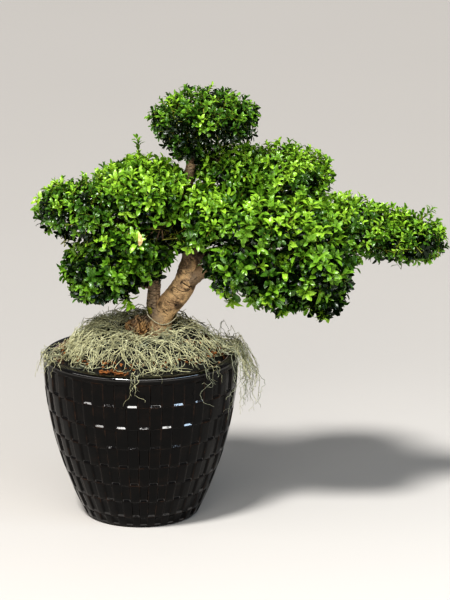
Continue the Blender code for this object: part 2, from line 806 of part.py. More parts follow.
def make_mass(mass, seed, cutters):
    """One mass: its cores, stem and shoots joined by one Boolean union, then cut clear of the limbs."""
    rng = random.Random(seed)
    taken = []
    grown = [grow_sprig(sprig) for sprig in SPRIGS if sprig.mass == mass.name]
    for lobe in mass.lobes:
        for direction in surface_directions(lobe, rng):
            grown.append(grow_shoot(mass, lobe, direction, rng.uniform(0, 2 * math.pi), taken))
    cores = [core_solid(mass, lobe) for lobe in mass.lobes]
    body = cores[0]
    body.name = mass.name
    joined = bpy.data.collections.new(f"{mass.name}_joined")
    bpy.context.scene.collection.children.link(joined)
    for obj in filter(None, [*cores[1:], feeding_stem(mass), *grown]):
        bpy.context.scene.collection.objects.unlink(obj)
        joined.objects.link(obj)
    boolean(body, "UNION", joined, "MANIFOLD")
    for limb in LIMBS:
        if any(depth_of(mass, place) < radius for place, radius in smooth_route(limb.points, LIMB_STEPS)):
            boolean(body, "DIFFERENCE", cutters[limb.name], "MANIFOLD")
    apply_modifiers(body)
    for obj in list(joined.objects):
        bpy.data.objects.remove(obj)
    bpy.data.collections.remove(joined)
    keep_largest_body(body)
    body.data.materials.clear()
    body.data.materials.append(material_of("foliage"))
    shade(body, CORE_SMOOTHING)


# Moss


def make_moss_mound(cutters):
    """A lumpy cushion of moss on the potting mix, cut clear of the trunk and the left stem."""
    bm = bmesh.new()
    under = (SOIL_FLAT_RADIUS, SOIL_SHOULDER[0])
    rings = [add_ring(bm, radius, soil_height(radius) + MOSS_CLEARANCE, MOSS_SEGMENTS) for radius in under]
    for share, thickness in MOSS_RINGS:
        ring = add_ring(bm, MOSS_EDGE_RADIUS * share, 0.0, MOSS_SEGMENTS)
        for vertex in ring:
            vertex.co.y -= MOSS_FORWARD * share
            radius = vertex.co.length
            lump = MOSS_LUMP * thickness / MOSS_RINGS[-1][1] * noise.noise(vertex.co / MOSS_LUMP_SIZE)
            tilt = MOSS_TILT * vertex.co.y * min(1.0, thickness / MOSS_RINGS[2][1])
            vertex.co.z = soil_height(radius) + MOSS_CLEARANCE + thickness + lump + tilt
        rings.append(ring)
    skin(bm, rings)
    bmesh.ops.triangulate(bm, faces=bm.faces)
    mound = object_of("moss_mound", bm, "moss")
    for name in ("trunk", "left_stem"):
        boolean(mound, "DIFFERENCE", cutters[name])
    apply_modifiers(mound)
    keep_largest_body(mound)
    shade(mound, MOSS_SMOOTHING)


def station_at(route, at):
    """(radius, height, thickness) at a fractional station of the route."""
    low = min(int(max(at, 0.0)), len(route) - 2)
    return Vector(route[low]).lerp(Vector(route[low + 1]), at - low)


def make_fall(fall):
    """A sheet of moss over the rim that hangs in tongues of uneven length."""
    bm = bmesh.new()
    stations = len(fall.route)
    lines = []
    for column in range(FALL_COLUMNS + 1):
        arch = math.sin(math.pi * column / FALL_COLUMNS)
        share = (1.0 if column % 2 else fall.short_share) * (0.7 + 0.3 * arch)
        turn = fall.facing + fall.span * (column / FALL_COLUMNS - 0.5) / RIM_RADIUS
        line = []
        for station in range(stations):
            at = min(station, FALL_HELD) + max(0, station - FALL_HELD) * share
            radius, height, thickness = station_at(fall.route, at)
            along = station_at(fall.route, at + 0.5) - station_at(fall.route, at - 0.5)
            along = Vector((along.x, along.y)).normalized()
            for sign in (1, -1):
                half = sign * thickness / 2 * (0.6 + 0.4 * arch)
                r, z = radius - half * along.y, height + half * along.x
                line.append(bm.verts.new((r * math.cos(turn), r * math.sin(turn), z)))
        lines.append(line[0::2] + line[1::2][::-1])
    for low, high in zip(lines, lines[1:]):
        join_rings(bm, low, high)
    for line in (lines[0], lines[-1]):  # the caps bend with the rim, so they are made in strips
        for at in range(stations - 1):
            bm.faces.new((line[at], line[at + 1], line[-at - 2], line[-at - 1]))
    bmesh.ops.recalc_face_normals(bm, faces=bm.faces)
    bmesh.ops.triangulate(bm, faces=bm.faces)
    shade(object_of(fall.name, bm, "moss"), MOSS_SMOOTHING)


def main():
    """Builds the pot and what fills it, then the limbs, the moss and the foliage."""
    clear_scene()
    make_pot()
    make_soil()
    cutters = make_limbs()
    make_moss_mound(cutters)
    for fall in FALLS:
        make_fall(fall)
    for number, mass in enumerate(MASSES):
        make_mass(mass, SEED + number, cutters)


main()
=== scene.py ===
"""The looks of a Japanese holly clipped into clouds, in a black glazed pot dressed with curly moss.

Metres, +Z up. The origin is the centre of the pot's underside, -Y is the front, and the long arm of the
crown reaches to +X. Each sub-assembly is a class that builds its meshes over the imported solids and
dresses them, and main() builds them in order.
"""

import logging
import math
from dataclasses import dataclass
from enum import Enum, IntEnum
from functools import cache
from typing import Any, Iterator, NamedTuple, Protocol, Sequence

import bmesh
import bpy
import numpy as np
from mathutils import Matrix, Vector, noise


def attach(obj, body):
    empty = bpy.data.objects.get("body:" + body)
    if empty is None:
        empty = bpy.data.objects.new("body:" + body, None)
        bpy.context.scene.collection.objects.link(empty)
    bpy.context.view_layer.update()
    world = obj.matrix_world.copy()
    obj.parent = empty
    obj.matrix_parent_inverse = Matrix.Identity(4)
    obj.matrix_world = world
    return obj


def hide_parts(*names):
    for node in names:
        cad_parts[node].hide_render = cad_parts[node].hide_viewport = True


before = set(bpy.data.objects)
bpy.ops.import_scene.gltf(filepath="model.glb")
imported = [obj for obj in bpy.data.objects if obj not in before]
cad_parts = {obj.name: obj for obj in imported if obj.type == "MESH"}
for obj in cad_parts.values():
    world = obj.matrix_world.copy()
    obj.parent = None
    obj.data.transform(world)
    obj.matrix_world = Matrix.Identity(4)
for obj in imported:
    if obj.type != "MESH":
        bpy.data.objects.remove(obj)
LOG = logging.getLogger("potted_holly")

Array = np.ndarray
Triple = tuple[float, float, float]
Colour = Triple
Point = Triple
Pair = tuple[float, float]
Pairs = tuple[Pair, ...]
Shape = tuple[Array, list[Array]]
Chance = np.random.Generator
Socket = bpy.types.NodeSocket

ROOT = "root"
GOLDEN_ANGLE = math.pi * (3 - math.sqrt(5))
GOLDEN_SHARE = 0.618
TINY = 1e-9


# Shader tools


class Value:
    """A number that changes over a surface. Its operators add Math nodes."""

    def __init__(self, surface: "Surface", socket: Socket) -> None:
        """Wraps the socket that gives the number."""
        self.surface = surface
        self.socket = socket

    def _math(self, operation: str, *operands: "float | Value") -> "Value":
        """Adds one Math node on the operands."""
        node = self.surface.node("ShaderNodeMath", {"operation": operation}, dict(enumerate(operands)))
        return Value(self.surface, node.outputs[0])

    def __add__(self, other: "float | Value") -> "Value":
        """The sum."""
        return self._math("ADD", self, other)

    __radd__ = __add__

    def __sub__(self, other: "float | Value") -> "Value":
        """The difference."""
        return self._math("SUBTRACT", self, other)

    def __rsub__(self, other: float) -> "Value":
        """A number less this value."""
        return self._math("SUBTRACT", other, self)

    def __mul__(self, other: "float | Value") -> "Value":
        """The product."""
        return self._math("MULTIPLY", self, other)

    __rmul__ = __mul__

    def __abs__(self) -> "Value":
        """The size without its sign."""
        return self._math("ABSOLUTE", self)

    def step(self, low: float, high: float) -> "Value":
        """Rises smoothly from 0 at low to 1 at high, or falls where low is the larger.

        Args:
            low: The value that gives 0.
            high: The value that gives 1.

        Returns:
            The eased share, kept from 0 to 1.
        """
        settings = {"interpolation_type": "SMOOTHSTEP", "clamp": True}
        sockets = {"Value": self, "From Min": low, "From Max": high, "To Min": 0.0, "To Max": 1.0}
        if low > high:
            sockets.update({"From Min": high, "From Max": low, "To Min": 1.0, "To Max": 0.0})
        return Value(self.surface, self.surface.node("ShaderNodeMapRange", settings, sockets).outputs[0])


class Surface:
    """The material of one finish, and the nodes that vary it over its pieces."""

    def __init__(self, name: str) -> None:
        """Makes the material with its Principled shader.

        Args:
            name: The material's name.
        """
        self.material = bpy.data.materials.new(name)
        self.material.use_nodes = True
        self.tree = self.material.node_tree
        self.shader = self.tree.nodes["Principled BSDF"]
        self.place = self.node("ShaderNodeTexCoord", {}, {}).outputs["Object"]

    def node(self, kind: str, settings: dict[str, Any], inputs: dict[Any, Any]) -> bpy.types.Node:
        """Adds one node.

        Args:
            kind: The node's type.
            settings: Its properties, which are set before its sockets.
            inputs: Values or links of its sockets, by name or number.

        Returns:
            The node.
        """
        made = self.tree.nodes.new(kind)
        for name, value in settings.items():
            setattr(made, name, value)
        for name, value in inputs.items():
            self.feed(made.inputs[name], value)
        return made

    def feed(self, target: Socket, value: Any) -> None:
        """Links a value or a socket to the target, or sets a plain number or colour on it.

        Args:
            target: The socket to feed.
            value: A value, another socket, a number or a colour.
        """
        if isinstance(value, Value):
            self.tree.links.new(value.socket, target)
        elif isinstance(value, bpy.types.NodeSocket):
            self.tree.links.new(value, target)
        elif target.type == "RGBA":
            target.default_value = (*value, 1.0)
        else:
            target.default_value = value

    def spread(self, stretch: Point, turn: Point = (0.0, 0.0, 0.0)) -> Socket:
        """The place on the piece, stretched after a turn in radians.

        Args:
            stretch: The scale along each axis.
            turn: The turn about each axis.

        Returns:
            The place.
        """
        turned = self.node("ShaderNodeMapping", {}, {"Vector": self.place, "Rotation": turn})
        sockets = {"Vector": turned.outputs[0], "Scale": stretch}
        return self.node("ShaderNodeMapping", {}, sockets).outputs[0]

    def noise(self, scale: float, detail: float = 3.0, rough: float = 0.5, place: Socket | None = None) -> Value:
        """Cloudy noise from 0 to 1.

        Args:
            scale: Clouds to the metre.
            detail: Octaves.
            rough: Strength of the finer octaves.
            place: Where it is read, or None for the plain place.

        Returns:
            The noise.
        """
        sockets = {"Vector": place or self.place, "Scale": scale, "Detail": detail, "Roughness": rough}
        return Value(self, self.node("ShaderNodeTexNoise", {}, sockets).outputs[0])

    def cracks(self, scale: float, place: Socket) -> Value:
        """The distance to the nearest edge between cells, which is 0 along the cracks.

        Args:
            scale: Cells to the metre.
            place: Where it is read.

        Returns:
            The distance.
        """
        sockets = {"Vector": place, "Scale": scale}
        made = self.node("ShaderNodeTexVoronoi", {"feature": "DISTANCE_TO_EDGE"}, sockets)
        return Value(self, made.outputs["Distance"])

    def away(self, centre: Point) -> Value:
        """The distance from a point."""
        made = self.node("ShaderNodeVectorMath", {"operation": "DISTANCE"}, {0: self.place, 1: centre})
        return Value(self, made.outputs["Value"])

    def mix(self, share: "Value | float", low: Any, high: Any) -> Socket:
        """A colour between two, by the share of the second.

        Args:
            share: The share of the second colour.
            low: The first colour.
            high: The second colour.

        Returns:
            The colour.
        """
        settings = {"data_type": "RGBA", "blend_type": "MIX"}
        made = self.node("ShaderNodeMix", settings, {0: share, 6: low, 7: high})
        return made.outputs[2]

    def bump(self, height: Value, distance: float) -> Socket:
        """A normal that follows the height, which is worth the distance in metres."""
        return self.node("ShaderNodeBump", {}, {"Distance": distance, "Height": height}).outputs[0]

    def dress(self, sockets: dict[str, Any]) -> bpy.types.Material:
        """Feeds the shader's sockets.

        Args:
            sockets: What each socket is fed.

        Returns:
            The material.
        """
        for name, value in sockets.items():
            self.feed(self.shader.inputs[name], value)
        return self.material


# Finishes


class Finish(Protocol):
    """What a piece is covered with."""

    def make(self) -> bpy.types.Material:
        """Makes the material."""


@cache
def material_of(finish: Finish) -> bpy.types.Material:
    """The material of a finish, which is made only once."""
    return finish.make()


@dataclass(frozen=True)
class GlazeFinish:
    """Black glaze that thins to brown."""

    name: str
    body: Colour
    thin: Colour
    thinning: Pair
    roughness: Pair = (0.05, 0.15)
    gloss: float = 0.24
    ripple: float = 0.0003

    def make(self) -> bpy.types.Material:
        """Brown shows where a cloudy noise rises through the thinning limits.

        Returns:
            The material.
        """
        surface = Surface(self.name)
        cloud = surface.noise(46.0, 5.0, 0.62)
        fine = surface.noise(420.0, 2.0)
        share = (cloud * 0.75 + fine * 0.25).step(*self.thinning)
        low, high = self.roughness
        return surface.dress({
            "Base Color": surface.mix(share, self.body, self.thin),
            "Roughness": surface.noise(17.0, 4.0) * (high - low) + low,
            "Specular IOR Level": self.gloss,
            "Normal": surface.bump(surface.noise(95.0, 2.0), self.ripple),
        })


@dataclass(frozen=True)
class SoilFinish:
    """Crumbly potting mix with brown fibres."""

    name: str
    dark: Colour
    light: Colour
    relief: float = 0.002

    def make(self) -> bpy.types.Material:
        """Crumbs of two browns with a rough relief.

        Returns:
            The material.
        """
        surface = Surface(self.name)
        crumb = surface.noise(210.0, 5.0, 0.7)
        patch = surface.noise(40.0, 3.0)
        share = (crumb * 0.6 + patch * 0.4).step(0.38, 0.62)
        return surface.dress({
            "Base Color": surface.mix(share, self.dark, self.light),
            "Roughness": crumb * 0.2 + 0.75,
            "Normal": surface.bump(crumb, self.relief),
        })


class Spot(NamedTuple):
    """A round mark on the bark, as a knot or a darker patch: its centre and its radius."""

    centre: Point
    radius: float


class Scar(NamedTuple):
    """A curved scar: part of a circle round a point, near the scar's middle, with its half width."""

    centre: Point
    radius: float
    middle: Point
    reach: float
    width: float


@dataclass(frozen=True)
class BarkFinish:
    """Tan bark with scars across the limb, dark cracks and greyer patches. The dark of the cracks is partly the bark's
    own colour and partly painted shade.
    """

    name: str
    pale: Colour
    brown: Colour
    dark: Colour
    lean: float = 0.0
    grey: Colour = (0.300, 0.245, 0.190)
    cracking: float = 0.35
    knots: tuple[Spot, ...] = ()
    scars: tuple[Scar, ...] = ()
    # Darker patches at given places, in the patch colour.
    dark_patches: tuple[Spot, ...] = ()
    patch_colour: Colour = (0.085, 0.056, 0.036)
    lichen: Point | None = None
    lichen_reach: Pair = (0.0095, 0.0060)
    lichen_colour: Colour = (0.42, 0.44, 0.02)
    stretch: Point = (32.0, 32.0, 120.0)
    relief: float = 0.0016

    def make(self) -> bpy.types.Material:
        """Layers the browns, then knots, darker patches at given places and scars, then lichen.

        Returns:
            The material.
        """
        surface = Surface(self.name)
        across = surface.spread(self.stretch, (0.0, self.lean, 0.0))
        patches = surface.noise(34.0, 5.0, 0.6)
        grain = surface.noise(260.0, 4.0, 0.65)
        scars = surface.noise(1.0, 5.0, 0.62, across)
        colour = surface.mix((patches * 0.6 + grain * 0.4).step(0.36, 0.60), self.brown, self.pale)
        colour = surface.mix(surface.noise(23.0, 3.0).step(0.52, 0.68) * 0.7, colour, self.grey)
        lines = abs(scars - 0.5).step(0.030, 0.0) * surface.noise(55.0, 2.0).step(0.42, 0.60)
        marks = surface.noise(1.4, 3.0, 0.5, across).step(0.64, 0.76)
        # Dark crack lines: partly the bark's own colour, partly painted shade in the cracks.
        split = surface.cracks(1.5, across).step(0.07, 0.0) * self.cracking
        scarred = lines * 0.55 + marks * 0.5 + split
        for centre, radius in self.knots:
            away = surface.away(centre) + (patches - 0.5) * radius * 1.6
            ring = away.step(radius * 0.75, radius) * away.step(radius * 1.35, radius * 1.05)
            scarred = scarred + ring * grain.step(0.40, 0.60) * 0.7
            colour = surface.mix(away.step(radius, radius * 0.3) * 0.8, colour, self.pale)
        # Darker patches at given places.
        for centre, radius in self.dark_patches:
            spread = (surface.away(centre) + (patches - 0.5) * radius * 2.2).step(radius, radius * 0.35)
            colour = surface.mix(spread * grain.step(0.34, 0.52) * 0.85, colour, self.patch_colour)
        for scar in self.scars:
            line = abs(surface.away(scar.centre) - scar.radius + (patches - 0.5) * 0.004).step(scar.width, 0.0)
            scarred = scarred + line * surface.away(scar.middle).step(scar.reach, scar.reach * 0.6)
        colour = surface.mix(scarred.step(0.0, 1.0), colour, self.dark)
        if self.lichen:
            spots = surface.noise(330.0, 3.0).step(0.36, 0.50)
            near = surface.away(self.lichen).step(*self.lichen_reach)
            colour = surface.mix(near * spots, colour, self.lichen_colour)
        height = grain * 0.4 + patches * 0.6 - scarred * 0.8
        return surface.dress({
            "Base Color": colour,
            "Roughness": grain * 0.2 + 0.62,
            "Normal": surface.bump(height, self.relief),
        })


@dataclass(frozen=True)
class LeafFinish:
    """A waxy leaf in one of the crown's greens."""

    name: str
    colour: Colour
    shade: Colour
    roughness: Pair = (0.20, 0.36)
    gloss: float = 0.45
    relief: float = 0.0003

    def make(self) -> bpy.types.Material:
        """A faint mottle over the base colour, with a soft wax gloss.

        Returns:
            The material.
        """
        surface = Surface(self.name)
        mottle = surface.noise(190.0, 2.0)
        low, high = self.roughness
        return surface.dress({
            "Base Color": surface.mix(mottle.step(0.3, 0.7), self.shade, self.colour),
            "Roughness": mottle * (high - low) + low,
            "Specular IOR Level": self.gloss,
            "Normal": surface.bump(surface.noise(520.0, 2.0), self.relief),
        })


@dataclass(frozen=True)
class StrandFinish:
    """Dry moss or fibre, matt and a little uneven along each strand."""

    name: str
    colour: Colour
    shade: Colour

    def make(self) -> bpy.types.Material:
        """Two tones in short stretches.

        Returns:
            The material.
        """
        surface = Surface(self.name)
        tone = surface.noise(85.0, 4.0, 0.6)
        return surface.dress({
            "Base Color": surface.mix(tone.step(0.36, 0.62), self.shade, self.colour),
            "Roughness": tone * 0.15 + 0.78,
        })


@dataclass(frozen=True)
class FloorFinish:
    """A plain pale studio floor."""

    name: str = "studio_floor"
    colour: Colour = (0.50, 0.476, 0.446)

    def make(self) -> bpy.types.Material:
        """Pale and matt, with a barely seen unevenness.

        Returns:
            The material.
        """
        surface = Surface(self.name)
        haze = surface.noise(1.3, 2.0)
        soft = tuple(channel * 0.985 for channel in self.colour)
        return surface.dress({
            "Base Color": surface.mix(haze, self.colour, soft),
            "Roughness": haze * 0.1 + 0.55,
        })


class LeafTint(Enum):
    """The greens that are dealt out by spray, and the finish of each. Which spray gets which is partly chance and
    partly painted light and shade: deeper greens below and inside, brighter ones on top and at the surface.
    """

    DEEP = LeafFinish("leaf_deep", (0.0075, 0.0220, 0.0024), (0.0040, 0.0120, 0.0016))
    MIDDLE = LeafFinish("leaf_middle", (0.0660, 0.1480, 0.0170), (0.0360, 0.0850, 0.0105))
    BRIGHT = LeafFinish("leaf_bright", (0.1850, 0.3350, 0.0360), (0.1150, 0.2250, 0.0240))
    FRESH = LeafFinish("leaf_fresh", (0.3050, 0.4750, 0.0540), (0.2000, 0.3500, 0.0350))


class MossShade(Enum):
    """The tones of the moss, from the front to the shaded back."""

    PALE = StrandFinish("moss_pale", (0.530, 0.515, 0.330), (0.310, 0.300, 0.175))
    GREY = StrandFinish("moss_grey", (0.380, 0.390, 0.275), (0.205, 0.215, 0.145))
    DIM = StrandFinish("moss_dim", (0.300, 0.315, 0.238), (0.140, 0.153, 0.112))


class Glazed(IntEnum):
    """The parts of the pot that have a glaze of their own, each with its place in GLAZES."""

    FACE = 0
    EDGE = 1
    INSIDE = 2
    LEDGE = 3


GLAZES = (
    GlazeFinish("glaze", (0.0022, 0.0018, 0.0016), (0.0120, 0.0072, 0.0050), (0.48, 0.80)),
    GlazeFinish("glaze_edge", (0.0046, 0.0032, 0.0027), (0.034, 0.0165, 0.0085), (0.45, 0.68), (0.08, 0.20)),
    # The inside and the lip's inner half: a brownish grey that is partly the pot's own and partly painted light, made
    # lighter to stand in for the room light on the inner wall.
    GlazeFinish("glaze_inside_painted_light", (0.170, 0.135, 0.115), (0.380, 0.310, 0.265), (0.35, 0.70), (0.22, 0.40)),
    GlazeFinish("glaze_ledge", (0.0030, 0.0024, 0.0021), (0.0120, 0.0072, 0.0050), (0.48, 0.80), gloss=1.0),
)
SOIL = SoilFinish("potting_mix", (0.018, 0.010, 0.006), (0.120, 0.058, 0.024))
LICHEN: Point = (0.0140, 0.0065, 0.3825)
TRUNK_BARK = BarkFinish(
    "trunk_bark", (0.69, 0.490, 0.275), (0.390, 0.258, 0.148), (0.035, 0.021, 0.013), lean=-0.52, lichen=LICHEN,
    knots=(
        Spot((0.0845, -0.0010, 0.4360), 0.0095),
        Spot((0.0600, 0.0360, 0.4080), 0.0070),
        Spot((0.0380, 0.0420, 0.3700), 0.0070),
    ),
    scars=(
        Scar((0.0800, -0.0040, 0.4425), 0.0205, (0.0790, -0.0010, 0.4225), 0.0170, 0.0011),
        Scar((0.0980, -0.0060, 0.4560), 0.0260, (0.0850, 0.0000, 0.4340), 0.0140, 0.0016),
        Scar((0.0600, -0.0040, 0.4300), 0.0300, (0.0600, -0.0010, 0.4010), 0.0130, 0.0008),
        Scar((0.0307, -0.0040, 0.3704), 0.0004, (0.0307, -0.0030, 0.3704), 0.0060, 0.0020),
        Scar((0.0790, 0.0040, 0.4140), 0.0004, (0.0790, 0.0040, 0.4140), 0.0060, 0.0022),
        Scar((0.0480, -0.0020, 0.3900), 0.0004, (0.0480, -0.0020, 0.3900), 0.0060, 0.0017),
        Scar((0.0650, -0.0010, 0.3960), 0.0004, (0.0650, -0.0010, 0.3960), 0.0060, 0.0015),
    ),
    dark_patches=(
        Spot((0.0700, 0.0010, 0.4600), 0.0170), Spot((0.0560, 0.0020, 0.4230), 0.0110),
        Spot((0.0860, -0.0040, 0.4760), 0.0200), Spot((0.0960, -0.0050, 0.4570), 0.0080),
        Spot((0.0350, 0.0020, 0.3980), 0.0080), Spot((0.0720, 0.0020, 0.3920), 0.0100),
        Spot((0.0980, 0.0060, 0.4300), 0.0090), Spot((0.0450, -0.0020, 0.3740), 0.0060),
        Spot((0.0790, -0.0040, 0.4060), 0.0060),
    ),
)
# The burr's cracks are drawn at full strength in near-black: partly its own dark, partly painted shade.
BURR_BARK = BarkFinish(
    "burr_bark", (0.60, 0.390, 0.185), (0.200, 0.112, 0.052), (0.010, 0.006, 0.004), lean=0.9, cracking=1.0,
    lichen=LICHEN,
)
STEM_BARK = BarkFinish(
    "stem_bark", (0.390, 0.295, 0.195), (0.165, 0.114, 0.072), (0.016, 0.010, 0.007), cracking=0.7, lichen=LICHEN,
    dark_patches=(Spot((0.0350, 0.0060, 0.4070), 0.0100), Spot((0.0340, 0.0060, 0.4270), 0.0080)),
)
BOUGH_BARK = BarkFinish("bough_bark", (0.400, 0.285, 0.175), (0.180, 0.115, 0.066), (0.022, 0.013, 0.009))
TIE_FIBRE = StrandFinish("tie_fibre", (0.72, 0.70, 0.52), (0.50, 0.47, 0.33))
TWIGS = (
    BarkFinish("twig_wood", (0.200, 0.135, 0.075), (0.090, 0.055, 0.030), (0.020, 0.012, 0.008)),
    StrandFinish("green_shoot", (0.300, 0.300, 0.040), (0.150, 0.170, 0.030)),
)
DRIED_LEAF = LeafFinish("dried_leaf", (0.850, 0.690, 0.380), (0.580, 0.370, 0.155), (0.6, 0.8))
# Nearly black: painted shade that shows between the strands.
MOSS_MAT_PAINTED_SHADE = StrandFinish("moss_mat_painted_shade", (0.020, 0.018, 0.011), (0.005, 0.004, 0.003))


# Mesh tools


class JoinedMesh:
    """Points and faces gathered from many shapes, which become one mesh."""

    def __init__(self) -> None:
        """Starts empty."""
        self.points: list[Array] = []
        self.faces: list[Array] = []
        self.finishes: list[Array] = []
        self.count = 0

    def add(self, points: Array, faces: list[Array], finish: int | list[Array] = 0) -> "JoinedMesh":
        """Adds one shape.

        Args:
            points: Its corners, one row each.
            faces: Arrays of faces with the same number of corners each.
            finish: The finish of all its faces, or one array for each array of faces.

        Returns:
            The same joined mesh, for the next call.
        """
        self.points.append(points.reshape(-1, 3))
        for number, group in enumerate(faces):
            self.faces.append(group + self.count)
            share = finish[number] if isinstance(finish, list) else np.full(len(group), finish)
            self.finishes.append(share)
        self.count += len(self.points[-1])
        return self

    def build(self, name: str, finishes: Sequence[Finish]) -> bpy.types.Object:
        """Makes the object, shaded smooth.

        Args:
            name: The piece's name.
            finishes: Its finishes in order.

        Returns:
            The object.
        """
        mesh = bpy.data.meshes.new(name)
        points = np.concatenate(self.points).astype(np.float32)
        loops = np.concatenate([group.ravel() for group in self.faces]).astype(np.int32)
        sizes = np.concatenate([np.full(len(group), group.shape[1]) for group in self.faces])
        starts = np.concatenate([[0], np.cumsum(sizes)[:-1]]).astype(np.int32)
        mesh.vertices.add(len(points))
        mesh.vertices.foreach_set("co", points.ravel())
        mesh.loops.add(len(loops))
        mesh.loops.foreach_set("vertex_index", loops)
        mesh.polygons.add(len(sizes))
        mesh.polygons.foreach_set("loop_start", starts)
        mesh.polygons.foreach_set("material_index", np.concatenate(self.finishes).astype(np.int32))
        mesh.polygons.foreach_set("use_smooth", np.ones(len(sizes), bool))
        mesh.update(calc_edges=True)
        for finish in finishes:
            mesh.materials.append(material_of(finish))
        made = bpy.data.objects.new(name, mesh)
        bpy.context.scene.collection.objects.link(made)
        return made

    def place(self, name: str, finishes: Sequence[Finish], slot: str, *nodes: str) -> None:
        """Makes the piece and lets it ride on the root.

        Args:
            name: The piece's name.
            finishes: Its finishes in order.
            slot: The slot of its finishes; not used.
            nodes: The solids that it stands for.
        """
        piece = self.build(name, finishes)
        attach(piece, ROOT)
        if nodes:
            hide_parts(*nodes)
        LOG.info("%s: %d faces", name, len(piece.data.polygons))


def unit(vectors: Array) -> Array:
    """The vectors at length 1."""
    return vectors / np.maximum(np.linalg.norm(vectors, axis=-1, keepdims=True), 1e-12)


def eased(share: Array) -> Array:
    """A smooth rise from 0 to 1."""
    kept = np.clip(share, 0.0, 1.0)
    return kept * kept * (3 - 2 * kept)


def guide_of(axes: Array) -> Array:
    """A direction well off each axis: up, or +X where the axis is steep."""
    return np.where(np.abs(axes[..., 2:]) > 0.8, [1.0, 0.0, 0.0], [0.0, 0.0, 1.0])


def turned(first: Array, second: Array, angle: Array) -> Array:
    """The first direction turned towards the second by the angle."""
    return first * np.cos(angle)[..., None] + second * np.sin(angle)[..., None]


def even_angles(count: int) -> Array:
    """Angles once round, in even steps."""
    return math.tau * np.arange(count) / count


def round_axis(radius: Any, height: Any, angle: Array) -> Array:
    """Points round the upright axis, with the radius, the height and the angle of each."""
    return np.stack(np.broadcast_arrays(radius * np.cos(angle), radius * np.sin(angle), height), -1)


def skinned(rings: Array) -> Shape:
    """Closed bodies through rings of points.

    Args:
        rings: The points, shaped (bodies, rings, columns, 3).

    Returns:
        The corners, and the faces as an array of quads and two of end caps.
    """
    number = np.arange(rings[..., 0].size).reshape(rings.shape[:3])
    low, high = number[:, :-1], number[:, 1:]
    quads = np.stack([low, np.roll(low, -1, 2), np.roll(high, -1, 2), high], -1).reshape(-1, 4)
    return rings.reshape(-1, 3), [quads, number[:, 0, ::-1], number[:, -1]]


def tubes(paths: Array, radii: Array, sides: int) -> Shape:
    """Closed tubes along many paths at once.

    Args:
        paths: Points of each path, shaped (paths, points, 3).
        radii: Radius at each point, shaped (paths, points).
        sides: Sides of every tube.

    Returns:
        The corners, and the faces as an array of quads and two of end caps.
    """
    tangents = unit(np.gradient(paths, axis=1))
    side = unit(np.cross(tangents, guide_of(tangents[:, :1])))
    spokes = turned(side[:, :, None], np.cross(tangents, side)[:, :, None], even_angles(sides))
    return skinned(paths[:, :, None] + spokes * radii[:, :, None, None])


def layered(place: Vector, layers: Sequence[Pair], start: float = 0.0) -> float:
    """The start plus layers of noise at a place, each given by its height and its scale."""
    return sum((height * noise.noise(place * scale) for height, scale in layers), start)


def crease(place: Vector, width: float) -> float:
    """Rises from 0 to 1 at the middle of thin creases, which are broader with the width."""
    return max(0.0, 1 - abs(noise.noise(place)) / width)


def smooth_route(points: Sequence[Sequence[float]], steps: int) -> Array:
    """Follows a Catmull-Rom curve through named rows.

    Args:
        points: The named rows.
        steps: Steps from one named row to the next.

    Returns:
        The rows, from the first named one to the last.
    """
    rows = np.array([points[0], *points, points[-1]], float)
    t = (np.arange(steps) / steps)[:, None]
    spans = [
        b + t * (c - a + t * (2 * a - 5 * b + 4 * c - d + t * (3 * b - a - 3 * c + d))) / 2
        for a, b, c, d in zip(rows, rows[1:], rows[2:], rows[3:])
    ]
    return np.concatenate([*spans, rows[-1:]])


# Pot


